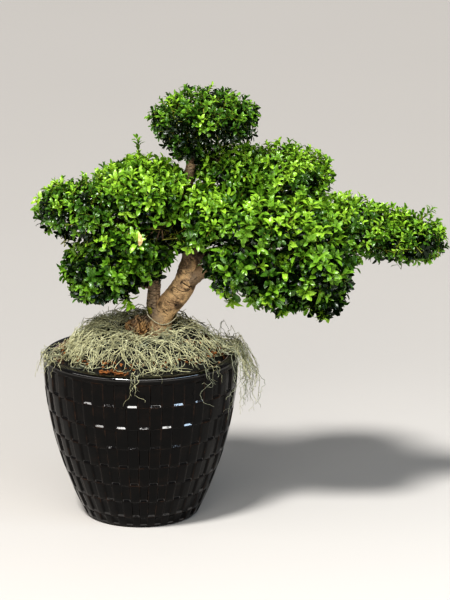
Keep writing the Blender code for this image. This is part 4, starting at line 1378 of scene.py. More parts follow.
@dataclass
class Crown:
    """Masses of foliage: branching twigs with a spiral of leaves on each shoot."""

    seed: int = 17
    shoot_spacing: float = 0.0170
    inner_spacing: float = 0.0260
    way_scatter: float = 0.45
    shoot_length: float = 0.032
    inner_length: float = 0.026
    length_range: Pair = (0.75, 1.15)
    scale_range: Pair = (0.82, 1.14)
    rise: float = 0.30
    scatter: float = 0.40
    tip_depth: Pair = (0.003, 0.024)
    inner_depth: Pair = (0.028, 0.050)
    tint_limits: Triple = (0.22, 0.54, 0.94)
    top_light: float = 0.36
    depth_shade: float = 24.0
    lit_depth: float = 0.010
    hollow_shade: float = 3.0
    hollow_thinning: float = 2.2
    lowest_facing: float = -0.90
    buried: float = 0.028
    inner_buried: float = 0.058
    overshoot: float = 0.007
    space: float = -0.003
    clearance: float = 0.0015
    leaves_on_shoot: int = 9
    leaves_inside: int = 6
    leaves_on_sprig: int = 13
    sprig_foot: float = 0.15
    sprig_leaf: float = 0.008
    leaf_length: Pair = (0.0150, 0.0215)
    bare_share: float = 0.30
    spread_angles: Pair = (1.35, 0.55)
    turn_scatter: float = 0.25
    angle_scatter: float = 0.16
    facing_rise: float = 0.35
    facing_scatter: float = 0.22
    end_taper: float = 0.30
    taper_start: float = 0.75
    arches: Pair = (0.5, 1.6)
    blade_rise: float = 0.13
    blade_droop: float = 0.12
    blade_fold: float = 0.34
    fork_spacing: float = 0.030
    twig_nodes: int = 12
    node_share: float = 0.48
    node_depth: float = 0.012
    node_space: float = 0.010
    stem_radii: Pair = (0.0034, 0.0026)
    knee_share: float = 0.35
    stem_arch: float = 0.004
    fork_radius: float = 0.0019
    fork_arch: float = 0.003
    shoot_radii: Triple = (0.0011, 0.0009, 0.0005)
    stations: Triple = (0.20, 0.54, 0.85)
    half_widths: Triple = (0.58, 1.00, 0.74)

    def directions(self, lobe: Array, spacing: float, rng: Chance) -> Array:
        """Unit directions spread evenly over a lobe by the golden angle, each moved a little.

        Args:
            lobe: The lobe's centre and half sizes.
            spacing: The way from one to the next on the lobe.
            rng: The seeded source of chance.

        Returns:
            The directions.
        """
        wide, deep, high = lobe[3:]
        count = round(4 * math.pi * (wide * deep + wide * high + deep * high) / 3 / spacing**2)
        number = np.arange(count)
        height = 1 - 2 * (number + 0.5) / count
        angle = rng.uniform(0, math.tau) + number * GOLDEN_ANGLE
        flat = np.sqrt(1 - height * height)
        even = np.stack([flat * np.cos(angle), flat * np.sin(angle), height], -1)
        return unit(even + rng.normal(scale=self.way_scatter / math.sqrt(count), size=even.shape))

    def twig_ends(self, mass: int, lobe: Array, rng: Chance) -> Array:
        """Where the twigs of a lobe fork into shoots, about half way out from its middle.

        Args:
            mass: The number of the mass.
            lobe: The lobe's centre and half sizes.
            rng: The seeded source of chance.

        Returns:
            The forks, with the lobe's middle last.
        """
        ways = self.directions(lobe, self.fork_spacing, rng)
        ways = ways[rng.permutation(len(ways))[: self.twig_nodes]]
        ends = lobe[:3] + ways * lobe[3:] * self.node_share
        good = in_space(mass, ends, -self.node_depth, self.node_space) & clear_of_limbs(ends, self.clearance)
        return np.concatenate([ends[good], lobe[None, :3]])

    def tint_of(self, mass: int, facing: Array, depth: Array, rng: Chance) -> Array:
        """Deals a tint to each shoot as painted light and shade, with a share of chance: brighter on top and at the
        surface, deeper below and inside.
        """
        draw = rng.uniform(size=len(facing)) + MASSES[mass].tone + self.top_light * facing
        return np.searchsorted(self.tint_limits, draw - self.depth_shade * (depth - self.lit_depth))

    def shoots_of(self, mass: int, lobe: Array, ends: Array, inner: bool, rng: Chance) -> Shoots:
        """The shoots of one lobe.

        Args:
            mass: The number of the mass.
            lobe: The lobe's centre and half sizes.
            ends: Where the twigs fork.
            inner: True for the sparse shaded shoots deeper inside.
            rng: The seeded source of chance.

        Returns:
            The shoots that keep to their space.
        """
        spacing = (self.inner_spacing if inner else self.shoot_spacing) * max(1.0, MASSES[mass].leaf_scale)
        ways = self.directions(lobe, spacing, rng)
        surface = lobe[:3] + ways * lobe[3:]
        outward = unit(ways / lobe[3:])
        depth = rng.uniform(*(self.inner_depth if inner else self.tip_depth), len(ways))
        tips = surface + outward * (groove_fill(surface) - depth)[:, None]
        heading = unit(outward + [0.0, 0.0, self.rise] + rng.normal(scale=self.scatter, size=ways.shape))
        length = (self.inner_length if inner else self.shoot_length) * rng.uniform(*self.length_range, (len(ways), 1))
        feet = tips - heading * length
        knots = ends[np.linalg.norm(feet[:, None] - ends, axis=-1).argmin(1)]
        open_share = hollow_share(tips)
        tints = self.tint_of(mass, outward[:, 2] - self.hollow_shade * open_share, depth, rng)
        count = self.leaves_inside if inner else self.leaves_on_shoot
        scale = MASSES[mass].leaf_scale * rng.uniform(*self.scale_range, len(ways))
        shoots = Shoots(knots, feet, tips, tints, scale, count)
        own = lobe_depths(tips)[:, LOBE_OWNERS == mass].min(-1)
        keep = (own > -(self.inner_buried if inner else self.buried)) & (outward[:, 2] > self.lowest_facing)
        keep &= in_space(mass, tips, self.overshoot, self.space) & clear_of_limbs(tips, self.clearance)
        keep &= clear_of_limbs(feet, 0.0) & (rng.uniform(size=len(ways)) > self.hollow_thinning * open_share)
        return shoots.kept(keep)

    def sprigs_of(self, mass: int) -> Shoots | None:
        """The longer shoots that stand clear of one mass.

        Args:
            mass: The number of the mass.

        Returns:
            The shoots, or None. Their tints are bright, the freshest where their leaves are large: painted light that
            lifts these shaded sprigs.
        """
        found = [sprig for sprig in SPRIGS if sprig.mass == MASSES[mass].name]
        if not found:
            return None
        roots, tips = np.array([s.root for s in found]), np.array([s.tip for s in found])
        feet = roots + (tips - roots) * self.sprig_foot
        scale = np.array([sprig.scale for sprig in found])
        # Bright tints on the sprigs: painted light.
        tints = np.where(scale > 1, list(LeafTint).index(LeafTint.FRESH), list(LeafTint).index(LeafTint.BRIGHT))
        tips = tips - unit(tips - roots) * self.sprig_leaf
        return Shoots(roots, feet, tips, tints, scale, self.leaves_on_sprig)

    def leaves_on(self, mass: int, shoots: Shoots, free: bool, rng: Chance) -> tuple[Array, list[Array], list[Array]]:
        """The leaves of many shoots, in a spiral that closes up towards the tip.

        Args:
            mass: The number of the mass.
            shoots: The shoots.
            free: True where the leaves may stand out of the mass, as on a sprig.
            rng: The seeded source of chance.

        Returns:
            The corners, the arrays of faces and the tint of each face.
        """
        count, each = len(shoots.tips), shoots.leaves
        share = self.bare_share + (1 - self.bare_share) * (np.arange(each) / (each - 1)) ** 0.8
        axis = unit(shoots.tips - shoots.feet)
        side = unit(np.cross(axis, guide_of(axis)))
        roots = shoots.feet[:, None] + (shoots.tips - shoots.feet)[:, None] * share[:, None]
        turn = rng.uniform(0, math.tau, (count, 1)) + np.arange(each) * GOLDEN_ANGLE
        turn += rng.normal(scale=self.turn_scatter, size=turn.shape)
        angle = np.linspace(*self.spread_angles, each) + rng.normal(scale=self.angle_scatter, size=turn.shape)
        radial = turned(side[:, None], np.cross(axis, side)[:, None], turn)
        along = unit(turned(axis[:, None], radial, angle))
        facing = axis[:, None] + [0.0, 0.0, self.facing_rise]
        facing = facing + rng.normal(scale=self.facing_scatter, size=along.shape)
        taper = 1.0 - self.end_taper * np.maximum(share - self.taper_start, 0) / (1 - self.taper_start)
        length = rng.uniform(*self.leaf_length, turn.shape) * shoots.scale[:, None] * taper
        roots, along, facing = (a.reshape(-1, 3) for a in (roots, along, facing))
        length = length.ravel()
        tints = np.repeat(shoots.tints, each)
        if not free:
            tips = roots + along * length[:, None]
            keep = in_space(mass, tips, self.overshoot, self.space) & clear_of_limbs(tips, self.clearance)
            keep &= clear_of_limbs((roots + tips) / 2, self.clearance)
            roots, along, facing, length, tints = (a[keep] for a in (roots, along, facing, length, tints))
        points, faces = self.blades(roots, along, facing, length, rng.uniform(*self.arches, len(length)))
        return points, faces, [np.repeat(tints, 4), np.repeat(tints, 4)]

    def blades(
        self, roots: Array, along: Array, facing: Array, length: Array, arch: Array, width: float = 0.43
    ) -> Shape:
        """Leaves as folded blades of four quads and four triangles each.

        Args:
            roots: Where each leaf starts.
            along: Unit directions to their tips.
            facing: The way that their upper sides face, roughly.
            length: Their lengths.
            arch: How strongly each one arches.
            width: Their width as a share of their length.

        Returns:
            The corners, and the arrays of quads and of triangles.
        """
        across = unit(np.cross(along, facing))
        up = np.cross(across, along)
        t = np.array([0.0, *np.repeat(self.stations, 3), 1.0])
        half = np.repeat(self.half_widths, 3) * np.tile([-1.0, 0.0, 1.0], 3)
        s = np.array([0.0, *half, 0.0]) * width / 2
        curve = self.blade_rise * np.sin(math.pi * t) - self.blade_droop * t * t
        lift = arch[:, None] * curve + self.blade_fold * np.abs(s)
        points = roots[:, None] + length[:, None, None] * (
            along[:, None] * t[:, None] + across[:, None] * s[:, None] + up[:, None] * lift[..., None]
        )
        quads = np.array([[1, 4, 5, 2], [2, 5, 6, 3], [4, 7, 8, 5], [5, 8, 9, 6]])
        tris = np.array([[0, 1, 2], [0, 2, 3], [7, 10, 8], [8, 10, 9]])
        start = (np.arange(len(roots)) * len(t))[:, None, None]
        return points.reshape(-1, 3), [(start + quads).reshape(-1, 4), (start + tris).reshape(-1, 3)]

    def twigs_of(self, mass: int, hubs: list[Array], shoots: list[Shoots]) -> JoinedMesh:
        """The stem from the feeding limb, the twigs from it to each fork, and the shoots.

        Args:
            mass: The number of the mass.
            hubs: The forks of each lobe, with the lobe's middle last.
            shoots: All the shoots of the mass.

        Returns:
            The twigs as one mesh, with the wood in the first finish and the shoots in the second.
        """
        shape = MASSES[mass]
        feeder = next(limb for limb in LIMBS if limb.name == shape.feeder)
        tip = np.array(feeder.points[-1])
        heading = unit(tip[:3] - np.array(feeder.points[-2][:3]))
        made = JoinedMesh()
        middle = hubs[0][-1]
        knee = tip[:3] + heading * self.knee_share * np.linalg.norm(middle - tip[:3])
        path = smooth_route((tip[:3], knee, middle), 4)
        thick, thin = self.stem_radii
        made.add(*tubes(path[None], np.linspace(tip[3], thick, len(path))[None], 8))
        for ends in hubs:
            if np.linalg.norm(middle - ends[-1]) > 1e-6:
                path = smooth_route((middle, (middle + ends[-1]) / 2 + [0.0, 0.0, self.stem_arch], ends[-1]), 3)
                made.add(*tubes(path[None], np.linspace(thick, thin, len(path))[None], 6))
            if len(ends) > 1:
                starts = np.broadcast_to(ends[-1], ends[:-1].shape)
                bend = (starts + ends[:-1]) / 2 + [0.0, 0.0, self.fork_arch]
                made.add(*tubes(np.stack([starts, bend, ends[:-1]], 1), np.full((len(bend), 3), self.fork_radius), 4))
        for group in shoots:
            paths = np.stack([group.knots, group.feet, group.tips], 1)
            made.add(*tubes(paths, np.broadcast_to(self.shoot_radii, (len(paths), 3)), 3), finish=1)
        return made

    def grow(self, mass: int) -> int:
        """Makes one mass.

        Args:
            mass: The number of the mass.

        Returns:
            How many leaves it has.
        """
        rng = np.random.default_rng(self.seed + mass)
        lobes = LOBES[LOBE_OWNERS == mass]
        hubs = [self.twig_ends(mass, lobe, rng) for lobe in lobes]
        groups = [
            self.shoots_of(mass, lobe, ends, inner, rng) for lobe, ends in zip(lobes, hubs) for inner in (False, True)
        ]
        sprigs = self.sprigs_of(mass)
        if sprigs:
            groups.append(sprigs)
        leaves = JoinedMesh()
        for group in groups:
            leaves.add(*self.leaves_on(mass, group, group is sprigs, rng))
        name = MASSES[mass].name
        leaves.place(f"{name}_leaves", [tint.value for tint in LeafTint], "foliage", name)
        self.twigs_of(mass, hubs, groups).place(f"{name}_twigs", TWIGS, "bark")
        return leaves.count // (3 * len(self.stations) + 2)

    def build(self) -> None:
        """Makes every mass, and the one dried leaf."""
        total = sum(self.grow(mass) for mass in range(len(MASSES)))
        LOG.info("%d leaves in %d masses", total, len(MASSES))
        self.build_dried_leaf()

    def build_dried_leaf(self) -> None:
        """Makes the dried leaf that hangs caught at the front."""
        root = np.array([[0.0010, -0.099, 0.5560]])
        along, facing = unit(np.array([[0.10, -0.06, -1.0]])), np.array([[0.35, -1.0, 0.1]])
        leaf = self.blades(root, along, facing, length=np.array([0.027]), arch=np.array([1.8]), width=0.34)
        JoinedMesh().add(*leaf).place("dried_leaf", [DRIED_LEAF], "foliage")


# Moss


class Hang(NamedTuple):
    """Moss that hangs over the rim: its angle, width, strands and forks, its drops and how far it bulges."""

    name: str
    node: str | None
    facing: float
    span: float
    strands: int
    forks: int
    drops: Pair
    bulge: float


HANGS = (
    Hang("right_moss_fall", "moss_fall_right", math.radians(2.0), 0.120, 84, 120, (0.030, 0.180), 0.030),
    Hang("left_moss_fall", "moss_fall_left", math.radians(200.0), 0.080, 24, 26, (0.008, 0.070), 0.014),
    Hang("front_moss_wisp", None, math.radians(-91.0), 0.026, 6, 4, (0.020, 0.070), 0.003),
    Hang("front_right_moss_wisp", None, math.radians(-48.0), 0.060, 6, 6, (0.012, 0.125), 0.004),
)
MOSS_SEED = 29
STRAND_RADIUS = 0.00074
BRANCH_LENGTH: Pair = (0.012, 0.032)


def tracked(turn: Array, step: Array) -> Array:
    """The (x, y) that steps of the given lengths lead to, when each is taken along its own turn."""
    return np.cumsum(np.stack([np.cos(turn), np.sin(turn)], -1) * step[..., None], axis=1)


def wander(rng: Chance, count: int, points: int, kick: float, hold: float) -> Array:
    """Random series in which each value keeps a share of the one before it.

    Args:
        rng: The seeded source of chance.
        count: How many series.
        points: The length of each.
        kick: How large a new step is.
        hold: The share that is kept.

    Returns:
        One series in each row.
    """
    series = rng.normal(scale=kick, size=(count, points))
    for at in range(1, points):
        series[:, at] += hold * series[:, at - 1]
    return series


def curling(rng: Chance, start: Array, points: int, curl: Pair) -> Array:
    """The heading at each point of strands that curl away from their starting ones."""
    return start + np.cumsum(wander(rng, len(start), points, *curl), 1)


def forking(rng: Chance, heading: Array, turns: Pair) -> Array:
    """Headings that fork off to one side or the other, by a turn in the range."""
    return heading + rng.choice([-1, 1], heading.shape) * rng.uniform(*turns, heading.shape)


def place_strands(name: str, groups: list[tuple[Array, Array, Array]], *nodes: str) -> None:
    """Makes strands into one piece.

    Args:
        name: The piece's name.
        groups: The points of each strand, the radius at each point, and the tone of each strand.
        nodes: The solids that the piece stands for.
    """
    joined = JoinedMesh()
    for paths, thick, shades in groups:
        points, faces = tubes(paths, thick, 3)
        joined.add(points, faces, [np.repeat(shades, 3 * (paths.shape[1] - 1)), shades, shades])
    joined.place(name, [shade.value for shade in MossShade], "moss", *nodes)


@dataclass
class MossCushion:
    """The mat of curly moss round the trunk, which the strands lie on."""

    mix: PottingMix
    edge_radius: float = 0.1555
    forward: float = 0.004
    rings: Pairs = (
        (0.0, 0.043), (0.28, 0.043), (0.52, 0.040), (0.74, 0.034), (0.88, 0.024), (0.97, 0.011), (1.0, 0.005),
    )
    clearance: float = 0.0012
    tilt: float = 0.045
    full: float = 0.024
    lump: float = 0.007
    lump_size: float = 0.040
    tufts: tuple[Triple, ...] = ((0.0034, 110.0, 0.3), (0.0022, 300.0, 0.7))
    sink: float = 0.0115
    bare_sink: float = 0.006
    hollow: tuple[Point, float, float] = ((0.004, -0.006, 0.0), 0.042, 0.013)
    drawn_in: Triple = (math.radians(152), math.radians(34), 0.17)
    bare: tuple[Triple, ...] = (
        (-0.060, -0.139, 0.010), (-0.043, -0.145, 0.010), (-0.027, -0.149, 0.009), (0.092, -0.034, 0.016),
        (0.137, 0.002, 0.016),
    )
    mat_columns: int = 168
    mat_circles: int = 58
    mat_under: Triple = (0.80, 0.90, 0.975)
    mat_shares: Pair = (0.985, 0.04)
    chips_in_spot: int = 18
    chip_scatter: float = 0.80
    chip_limit: float = 0.99
    chip_level: float = 0.302
    seed: int = MOSS_SEED

    def share(self, points: Array) -> Array:
        """Where each (x, y) lies between the middle of the cushion, at 0, and its edge, at 1.

        Args:
            points: The points, of which x and y count.

        Returns:
            The share for each point.
        """
        x, y = points[..., 0], points[..., 1]
        spare = self.edge_radius**2 - self.forward**2
        return (y * self.forward + np.sqrt((y * self.forward) ** 2 + spare * (x * x + y * y))) / spare

    def height(self, points: Array) -> Array:
        """The top of the cushion over each (x, y), with a hollow round the foot of the trunk.

        Args:
            points: The points, of which x and y count.

        Returns:
            The height for each point.
        """
        shares, thicknesses = zip(*self.rings)
        thickness = np.interp(self.share(points), shares, thicknesses)
        rise = self.tilt * points[..., 1] * np.minimum(1.0, thickness / self.full)
        middle, width, depth = self.hollow
        away = np.linalg.norm(points[..., :2] - np.array(middle[:2]), axis=-1)
        rise = rise - depth * np.exp(-((away / width) ** 2))
        return self.mix.height(np.linalg.norm(points[..., :2], axis=-1)) + self.clearance + thickness + rise

    def bareness(self, points: Array) -> Array:
        """How bare the cushion is at each (x, y): 1 in the middle of a thin spot.

        Args:
            points: The points, of which x and y count.

        Returns:
            The bareness for each point.
        """
        return sum(
            np.exp(-((np.linalg.norm(points[..., :2] - np.array([x, y]), axis=-1) / reach) ** 2))
            for x, y, reach in self.bare
        )

    def drawn(self, points: Array) -> Array:
        """The points drawn in from the rim at the back left, where the inside of the pot shows.

        Args:
            points: The points, with x and y first.

        Returns:
            The moved points.
        """
        facing, width, share = self.drawn_in
        turn = np.arctan2(points[..., 1], points[..., 0]) - facing
        turn = np.arctan2(np.sin(turn), np.cos(turn))
        reach = (np.linalg.norm(points[..., :2], axis=-1) / self.edge_radius).clip(0, 1)
        moved = points.copy()
        moved[..., :2] *= (1 - share * reach**2 * np.exp(-((turn / width) ** 2)))[..., None]
        return moved

    def lumps(self, x: float, y: float) -> float:
        """How far lumps and tufts stand out at a place, where each tuft has its height, scale and layer of noise."""
        broad = self.lump * noise.noise(Vector((x, y, 0.0)) / self.lump_size)
        return sum((height * noise.noise(Vector((x, y, layer)) * scale) for height, scale, layer in self.tufts), broad)

    def build(self) -> None:
        """Makes the matted body of the moss, whose nearly black finish is painted shade between the strands, and the
        chips caught in it.
        """
        shares = np.array([*self.mat_under, *np.linspace(*self.mat_shares, self.mat_circles)])[:, None]
        points = round_axis(self.edge_radius * shares, 0.0, even_angles(self.mat_columns))
        points[..., 1] -= self.forward * shares
        ground = self.mix.height(np.linalg.norm(points[..., :2], axis=-1)) + self.clearance
        lumps = np.reshape([self.lumps(x, y) for x, y, _ in points.reshape(-1, 3)], points.shape[:2])
        top = self.height(points) - self.sink + lumps
        points[..., 2] = np.maximum(ground, top - self.bare_sink * self.bareness(points))
        under = len(self.mat_under)
        points[:under, :, 2] = ground[:under]
        mat = JoinedMesh().add(*skinned(self.drawn(points)[None]))
        mat.place("moss_cushion", [MOSS_MAT_PAINTED_SHADE], "moss", "moss_mound")
        self.build_caught_chips()

    def build_caught_chips(self) -> None:
        """Makes the chips of bark that lie in the thin spots of the moss."""
        rng = np.random.default_rng(self.seed + 1)
        centres = []
        for x, y, reach in self.bare:
            spots = rng.normal(scale=reach * self.chip_scatter, size=(self.chips_in_spot, 2)) + [x, y]
            spots = spots[self.share(spots) < self.chip_limit]
            height = self.height(spots) - self.sink - self.bare_sink * self.bareness(spots)
            height = height + rng.uniform(0, 0.005, len(spots))
            least = self.chip_level + rng.uniform(0, 0.006, len(spots))
            centres.append(np.column_stack([spots, np.maximum(height, least)]))
        self.mix.lay_chips("caught_chips", np.concatenate(centres) + [0.0, 0.0, 0.001], rng)


@dataclass
class MossStrands:
    """The loose strands that lie over the cushion, and the short ones that fork from them."""

    cushion: MossCushion
    strands: int = 720
    strand_points: int = 15
    strand_length: Pair = (0.045, 0.105)
    strand_lift: Pair = (-0.0060, 0.0030)
    curl: Pair = (0.30, 0.40)
    wave: Pair = (0.0007, 0.5)
    loose: float = 0.0060
    loose_behind: float = 0.050
    branches: int = 680
    branch_points: int = 6
    fork_turns: Pair = (0.6, 1.3)
    branch_curl: Pair = (0.28, 0.3)
    branch_rise: Pair = (-0.004, 0.017)
    back_shade: float = 1.1
    depth_shade: float = 75.0
    middle_lift: float = 0.0015
    shade_limits: Pair = (0.62, 1.12)
    thin_spot: float = 0.42
    kept_in_spot: int = 5
    limb_clearance: float = 0.0010
    burr_reach: float = 0.0275
    girth: Pair = (0.70, 1.20)
    taper: float = 0.55
    rim_height: float = 0.3080
    rim_slack: float = 0.0015
    rim_start: float = 0.1575
    fold_range: float = 0.10
    fold_least: float = 0.3
    wisp_every: int = 11
    wisp_limit: float = 1.08
    seed: int = MOSS_SEED

    def build(self) -> None:
        """Makes the loose strands that lie over the cushion, and then their forks."""
        rng = np.random.default_rng(self.seed)
        count, points = self.strands, self.strand_points
        angle, reach = rng.uniform(0, math.tau, count), self.cushion.edge_radius * np.sqrt(rng.uniform(0.01, 1, count))
        middle = round_axis(reach, 0.0, angle)[:, :2] - [0.0, self.cushion.forward]
        step = rng.uniform(*self.strand_length, (count, 1)) / (points - 1)
        heading = curling(rng, rng.uniform(0, math.tau, (count, 1)), points, self.curl)
        track = tracked(heading, step)
        places = middle[:, None] + track - track[:, points // 2][:, None]
        lift = rng.uniform(*self.strand_lift, count)
        loose = self.loose + self.loose_behind * middle[:, 1:].clip(0)
        arch = np.abs(rng.normal(size=(count, 1))) * loose * np.sin(math.pi * np.linspace(0, 1, points))
        wave = np.cumsum(wander(rng, count, points, *self.wave), 1)
        paths = self.laid(places, lift[:, None] + arch + wave - wave.mean(1, keepdims=True))
        paths, lift, heading = self.clear(paths, lift, heading)
        self.build_pair("moss_strands", paths, self.shade_of(paths[:, points // 2], lift, rng), rng)
        self.build_forks(paths, heading, rng)

    def build_forks(self, paths: Array, heading: Array, rng: Chance) -> None:
        """Makes the short strands that fork from the loose ones.

        Args:
            paths: The points of each loose strand.
            heading: Which way each loose strand runs at each point.
            rng: The seeded source of chance.
        """
        pick = rng.integers(len(paths), size=self.branches)
        at = rng.integers(2, self.strand_points - 2, size=self.branches)
        count, points = self.branches, self.branch_points
        start, turn = paths[pick, at], forking(rng, heading[pick, at], self.fork_turns)
        step = rng.uniform(*BRANCH_LENGTH, (count, 1)) / (points - 1)
        heading = curling(rng, turn[:, None], points, self.branch_curl)
        track = tracked(heading, step)
        places = start[:, None, :2] + track - track[:, :1]
        over = start[:, 2] - self.cushion.height(start)
        rise = rng.uniform(*self.branch_rise, (count, 1)) * np.linspace(0, 1, points) ** 1.4
        forks = self.laid(places, over[:, None] + rise)
        forks, over, heading = self.clear(forks, over, heading)
        self.build_pair("moss_forks", forks, self.shade_of(forks[:, 0], over.clip(*self.strand_lift), rng), rng)

    def laid(self, places: Array, lift: Array) -> Array:
        """Strands laid over the cushion, where most of them turn back before the lip.

        Args:
            places: The (x, y) points of each strand.
            lift: How far each point is over the cushion.

        Returns:
            The (x, y, z) points.
        """
        number = np.arange(len(places))
        turning = 1 - self.fold_range * (number * GOLDEN_SHARE % 1)
        limit = np.where(number % self.wisp_every, turning, self.wisp_limit)[:, None]
        share = self.cushion.share(places)
        folded = np.where(share > limit, (2 * limit - share).clip(self.fold_least), share)
        places = places * (folded / np.maximum(share, TINY))[..., None]
        places[:, 1:-1] = (places[:, :-2] + 2 * places[:, 1:-1] + places[:, 2:]) / 4
        height = np.maximum(self.cushion.height(places), self.rim_height - self.rim_slack) + lift
        over = np.linalg.norm(places, axis=-1) > self.rim_start
        height = np.where(over, np.maximum(height, self.rim_height), height)
        return np.concatenate([places, height[..., None]], -1)

    def clear(self, paths: Array, *others: Array) -> tuple[Array, ...]:
        """Keeps the strands that touch neither a limb nor the burr, and few in a thin spot.

        Args:
            paths: The points of each strand.
            others: Arrays with a row for each strand.

        Returns:
            The strands and the other arrays, with the rows that are kept.
        """
        keep = clear_of_limbs(self.cushion.drawn(paths), self.limb_clearance).all(1)
        keep &= np.linalg.norm(paths - BURR_CENTRE, axis=-1).min(1) > self.burr_reach
        few = np.arange(len(paths)) % self.kept_in_spot == 0
        keep &= (self.cushion.bareness(paths).max(1) < self.thin_spot) | few
        return paths[keep], *(other[keep] for other in others)

    def shade_of(self, places: Array, lift: Array, rng: Chance) -> Array:
        """Deals a tone to each strand as painted light and shade: paler to the front and on top, dimmer at the back and
        below.
        """
        draw = rng.uniform(size=len(places)) + self.back_shade * places[:, 1]
        return np.searchsorted(self.shade_limits, draw - self.depth_shade * (lift + self.middle_lift))

    def build_pair(self, name: str, paths: Array, shades: Array, rng: Chance) -> None:
        """Makes strands into two pieces of tapering fibres.

        Args:
            name: How the names of both start.
            paths: The points of each strand.
            shades: The tone of each strand.
            rng: The seeded source of chance.
        """
        share = np.linspace(0, 1, paths.shape[1])
        thick = STRAND_RADIUS * rng.uniform(*self.girth, (len(paths), 1)) * (1 - self.taper * share**2)
        half = len(paths) // 2
        for part, rows in (("first", slice(0, half)), ("second", slice(half, None))):
            place_strands(f"{name}_{part}", [(self.cushion.drawn(paths[rows]), thick[rows], shades[rows])])


@dataclass
class MossFalls:
    """Moss that goes over the rim and hangs outside the pot."""

    lip_path: Pairs = (
        (0.128, 0.3300), (0.142, 0.3220), (0.156, 0.3125), (0.168, 0.3092), (0.178, 0.3090), (0.1838, 0.3066),
        (0.1868, 0.3000),
    )
    lip_radius: float = 0.185
    turn_down: float = 0.030
    hang_points: int = 34
    hang_width: float = 0.9
    last_begin: float = 0.95
    hang_curl: Pair = (0.62, 0.70)
    hang_swing: float = 1.35
    hang_sway: Pair = (0.0022, 0.86)
    hang_loose: float = 0.010
    hang_girth: Pair = (0.60, 1.0)
    hang_taper: Pair = (1.0, 0.55)
    hang_shades: Pair = (0.72, 0.98)
    fork_points: int = 9
    first_fork: int = 9
    hang_fork_turns: Pair = (0.6, 1.5)
    fork_curl: Pair = (0.30, 0.45)
    fork_spread: Pair = (-0.002, 0.008)
    fork_taper: Pair = (0.9, 0.5)
    seed: int = MOSS_SEED

    def lip_run(self) -> Array:
        """How far each point of the way over the lip is along it."""
        return np.concatenate([[0], np.cumsum(np.linalg.norm(np.diff(self.lip_path, axis=0), axis=1))])

    def hung(self, facing: float, along: Array, aside: Array, out: Array) -> Array:
        """Points over the rim and down outside it.

        Args:
            facing: The angle round the pot.
            along: How far each point is along the way over the lip and down.
            aside: How far it is to the side.
            out: How far it stands off.

        Returns:
            The (x, y, z) points.
        """
        run = self.lip_run()
        radii, heights = zip(*self.lip_path)
        fallen = ((along - run[-1]) / self.turn_down).clip(0, 1)
        radius = np.interp(along, run, radii) + out * fallen
        height = np.interp(along, run, heights) - (along - run[-1]).clip(0) + out * (1 - fallen)
        return round_axis(radius, height, facing + aside / self.lip_radius)

    def build(self) -> None:
        """Makes every group of hanging moss."""
        for hang in HANGS:
            self.build_hang(hang)

    def build_hang(self, hang: Hang) -> None:
        """Makes one group of strands that goes over the rim and hangs in loose curls with forks.

        Args:
            hang: Where it is, and how it falls.
        """
        rng = np.random.default_rng(self.seed + len(hang.name))
        count, points, bends = hang.strands, self.hang_points, self.fork_points
        place = rng.uniform(-self.hang_width, self.hang_width, (count, 1))
        least, most = hang.drops
        drop = least + (most - least) * rng.uniform(0.0, 1, (count, 1)) ** 1.7 * (1 - 0.5 * np.abs(place))
        over = self.lip_run()[-1]
        begin = rng.uniform(0.0, self.last_begin, (count, 1)) * over
        length = np.linspace(0, 1, points) * (over + drop - begin)
        step = np.diff(length, axis=1, prepend=0.0)
        fallen = ((length + begin - over) / self.turn_down).clip(0, 1)
        swing = np.tanh(wander(rng, count, points, *self.hang_curl)) * self.hang_swing
        way = tracked(swing, step)
        along, aside = begin + way[..., 0], place * hang.span / 2 + way[..., 1]
        out = np.abs(wander(rng, count, points, *self.hang_sway))
        out += rng.uniform(0, self.hang_loose, (count, 1)) * (1 - fallen)
        out += hang.bulge * rng.uniform(0, 1, (count, 1)) ** 1.3 * eased(fallen)
        thick = STRAND_RADIUS * rng.uniform(*self.hang_girth, (count, 1)) * np.linspace(*self.hang_taper, points)
        shades = np.searchsorted(self.hang_shades, rng.uniform(size=count))
        strands = (self.hung(hang.facing, along, aside, out), thick, shades)

        pick, at = rng.integers(count, size=hang.forks), rng.integers(self.first_fork, points - 2, size=hang.forks)
        turn = curling(rng, forking(rng, swing[pick, at][:, None], self.hang_fork_turns), bends, self.fork_curl)
        step = rng.uniform(*BRANCH_LENGTH, (hang.forks, 1)) / (bends - 1) * (np.arange(bends) > 0)
        way = tracked(turn, step)
        spread = rng.uniform(*self.fork_spread, (hang.forks, 1)) * np.linspace(0, 1, bends)
        along, aside = along[pick, at][:, None] + way[..., 0], aside[pick, at][:, None] + way[..., 1]
        thin = thick[pick, at][:, None] * np.linspace(*self.fork_taper, bends)
        out = (out[pick, at][:, None] + spread).clip(0)
        forks = (self.hung(hang.facing, along, aside, out), thin, shades[pick])
        place_strands(hang.name, [strands, forks], *([hang.node] if hang.node else []))


# Studio


class SoftBox(NamedTuple):
    """A studio light: where it stands, what it points at, its width and height, its power and its colour."""

    name: str
    place: Point
    target: Point
    size: Pair
    power: float
    colour: Colour


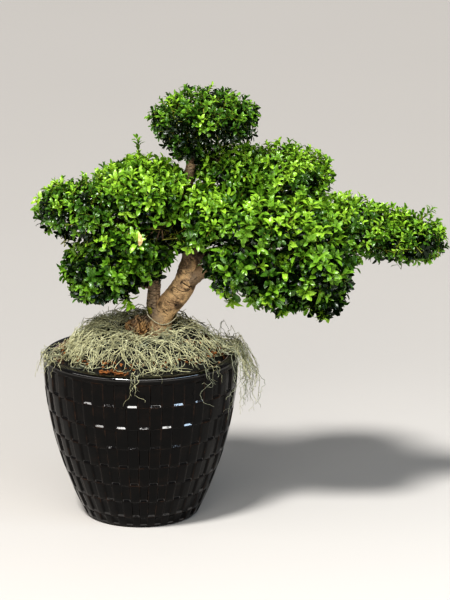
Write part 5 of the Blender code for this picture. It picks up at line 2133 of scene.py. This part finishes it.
@dataclass
class Studio:
    """A pale floor, soft boxes and the camera."""

    camera_place: Point = (0.1556, -5.300, 1.773)
    camera_target: Point = (0.1556, 0.0, 0.4048)
    lens: float = 178.8
    sensor: float = 36.0
    floor_size: float = 80.0
    floor_level: float = -0.0004
    sky: Colour = (0.93, 0.94, 0.97)
    sky_strength: float = 0.15
    sun_way: Point = (-0.42, -0.70, 1.38)
    sun_strength: float = 3.2
    sun_angle: float = math.radians(11.0)
    look: str = "High Contrast"
    boxes: tuple[SoftBox, ...] = (
        SoftBox("front_strip", (0.30, -2.20, 1.56), (0.05, 0.0, 0.25), (3.00, 0.42), 35.0, (1.0, 0.985, 0.96)),
        SoftBox("left_strip", (-1.95, -1.00, 1.52), (0.0, 0.0, 0.25), (2.00, 0.40), 13.0, (1.0, 0.98, 0.95)),
        SoftBox("right_window", (2.10, -1.30, 1.58), (0.05, 0.0, 0.25), (1.40, 0.42), 17.0, (0.66, 0.82, 1.0)),
    )

    @staticmethod
    def aim(thing: bpy.types.Object, place: Point, target: Point) -> None:
        """Puts a light or the camera at its place and turns it to its target.

        Args:
            thing: The light or the camera.
            place: Where it stands.
            target: What it points at.
        """
        thing.location = place
        thing.rotation_euler = (Vector(target) - Vector(place)).to_track_quat("-Z", "Y").to_euler()
        bpy.context.scene.collection.objects.link(thing)

    def build(self) -> None:
        """Makes the floor, the lights, the sky and the camera."""
        half, level = self.floor_size / 2, self.floor_level
        corners = np.array([(x, y, level) for x, y in ((-half, -half), (half, -half), (half, half), (-half, half))])
        floor = JoinedMesh().add(corners, [np.array([[0, 1, 2, 3]])])
        floor.build("studio_floor", [FloorFinish()])
        for box in self.boxes:
            light = bpy.data.lights.new(box.name, "AREA")
            light.shape, light.energy, light.color = "RECTANGLE", box.power, box.colour
            light.size, light.size_y = box.size
            self.aim(bpy.data.objects.new(box.name, light), box.place, box.target)
        sun = bpy.data.lights.new("soft_sun", "SUN")
        sun.energy, sun.angle = self.sun_strength, self.sun_angle
        self.aim(bpy.data.objects.new("soft_sun", sun), self.sun_way, (0.0, 0.0, 0.0))
        world = bpy.data.worlds.new("studio_sky")
        world.use_nodes = True
        background = world.node_tree.nodes["Background"]
        background.inputs["Color"].default_value = (*self.sky, 1.0)
        background.inputs["Strength"].default_value = self.sky_strength
        bpy.context.scene.world = world
        view = bpy.context.scene.view_settings
        view.view_transform, view.look = "Standard", self.look
        lens = bpy.data.cameras.new("studio_camera")
        lens.sensor_width, lens.sensor_fit, lens.lens = self.sensor, "AUTO", self.lens
        camera = bpy.data.objects.new("studio_camera", lens)
        self.aim(camera, self.camera_place, self.camera_target)
        bpy.context.scene.camera = camera


def main() -> None:
    """Builds the plant from the pot up, then the studio round it."""
    logging.basicConfig(level=logging.INFO, format="%(name)s %(message)s")
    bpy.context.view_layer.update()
    pot = GlazedPot()
    pot.build()
    mix = PottingMix()
    mix.build(pot)
    Woodwork().build()
    cushion = MossCushion(mix)
    cushion.build()
    MossStrands(cushion).build()
    MossFalls().build()
    Crown().build()
    Studio().build()


if __name__ == "__main__":
    main()
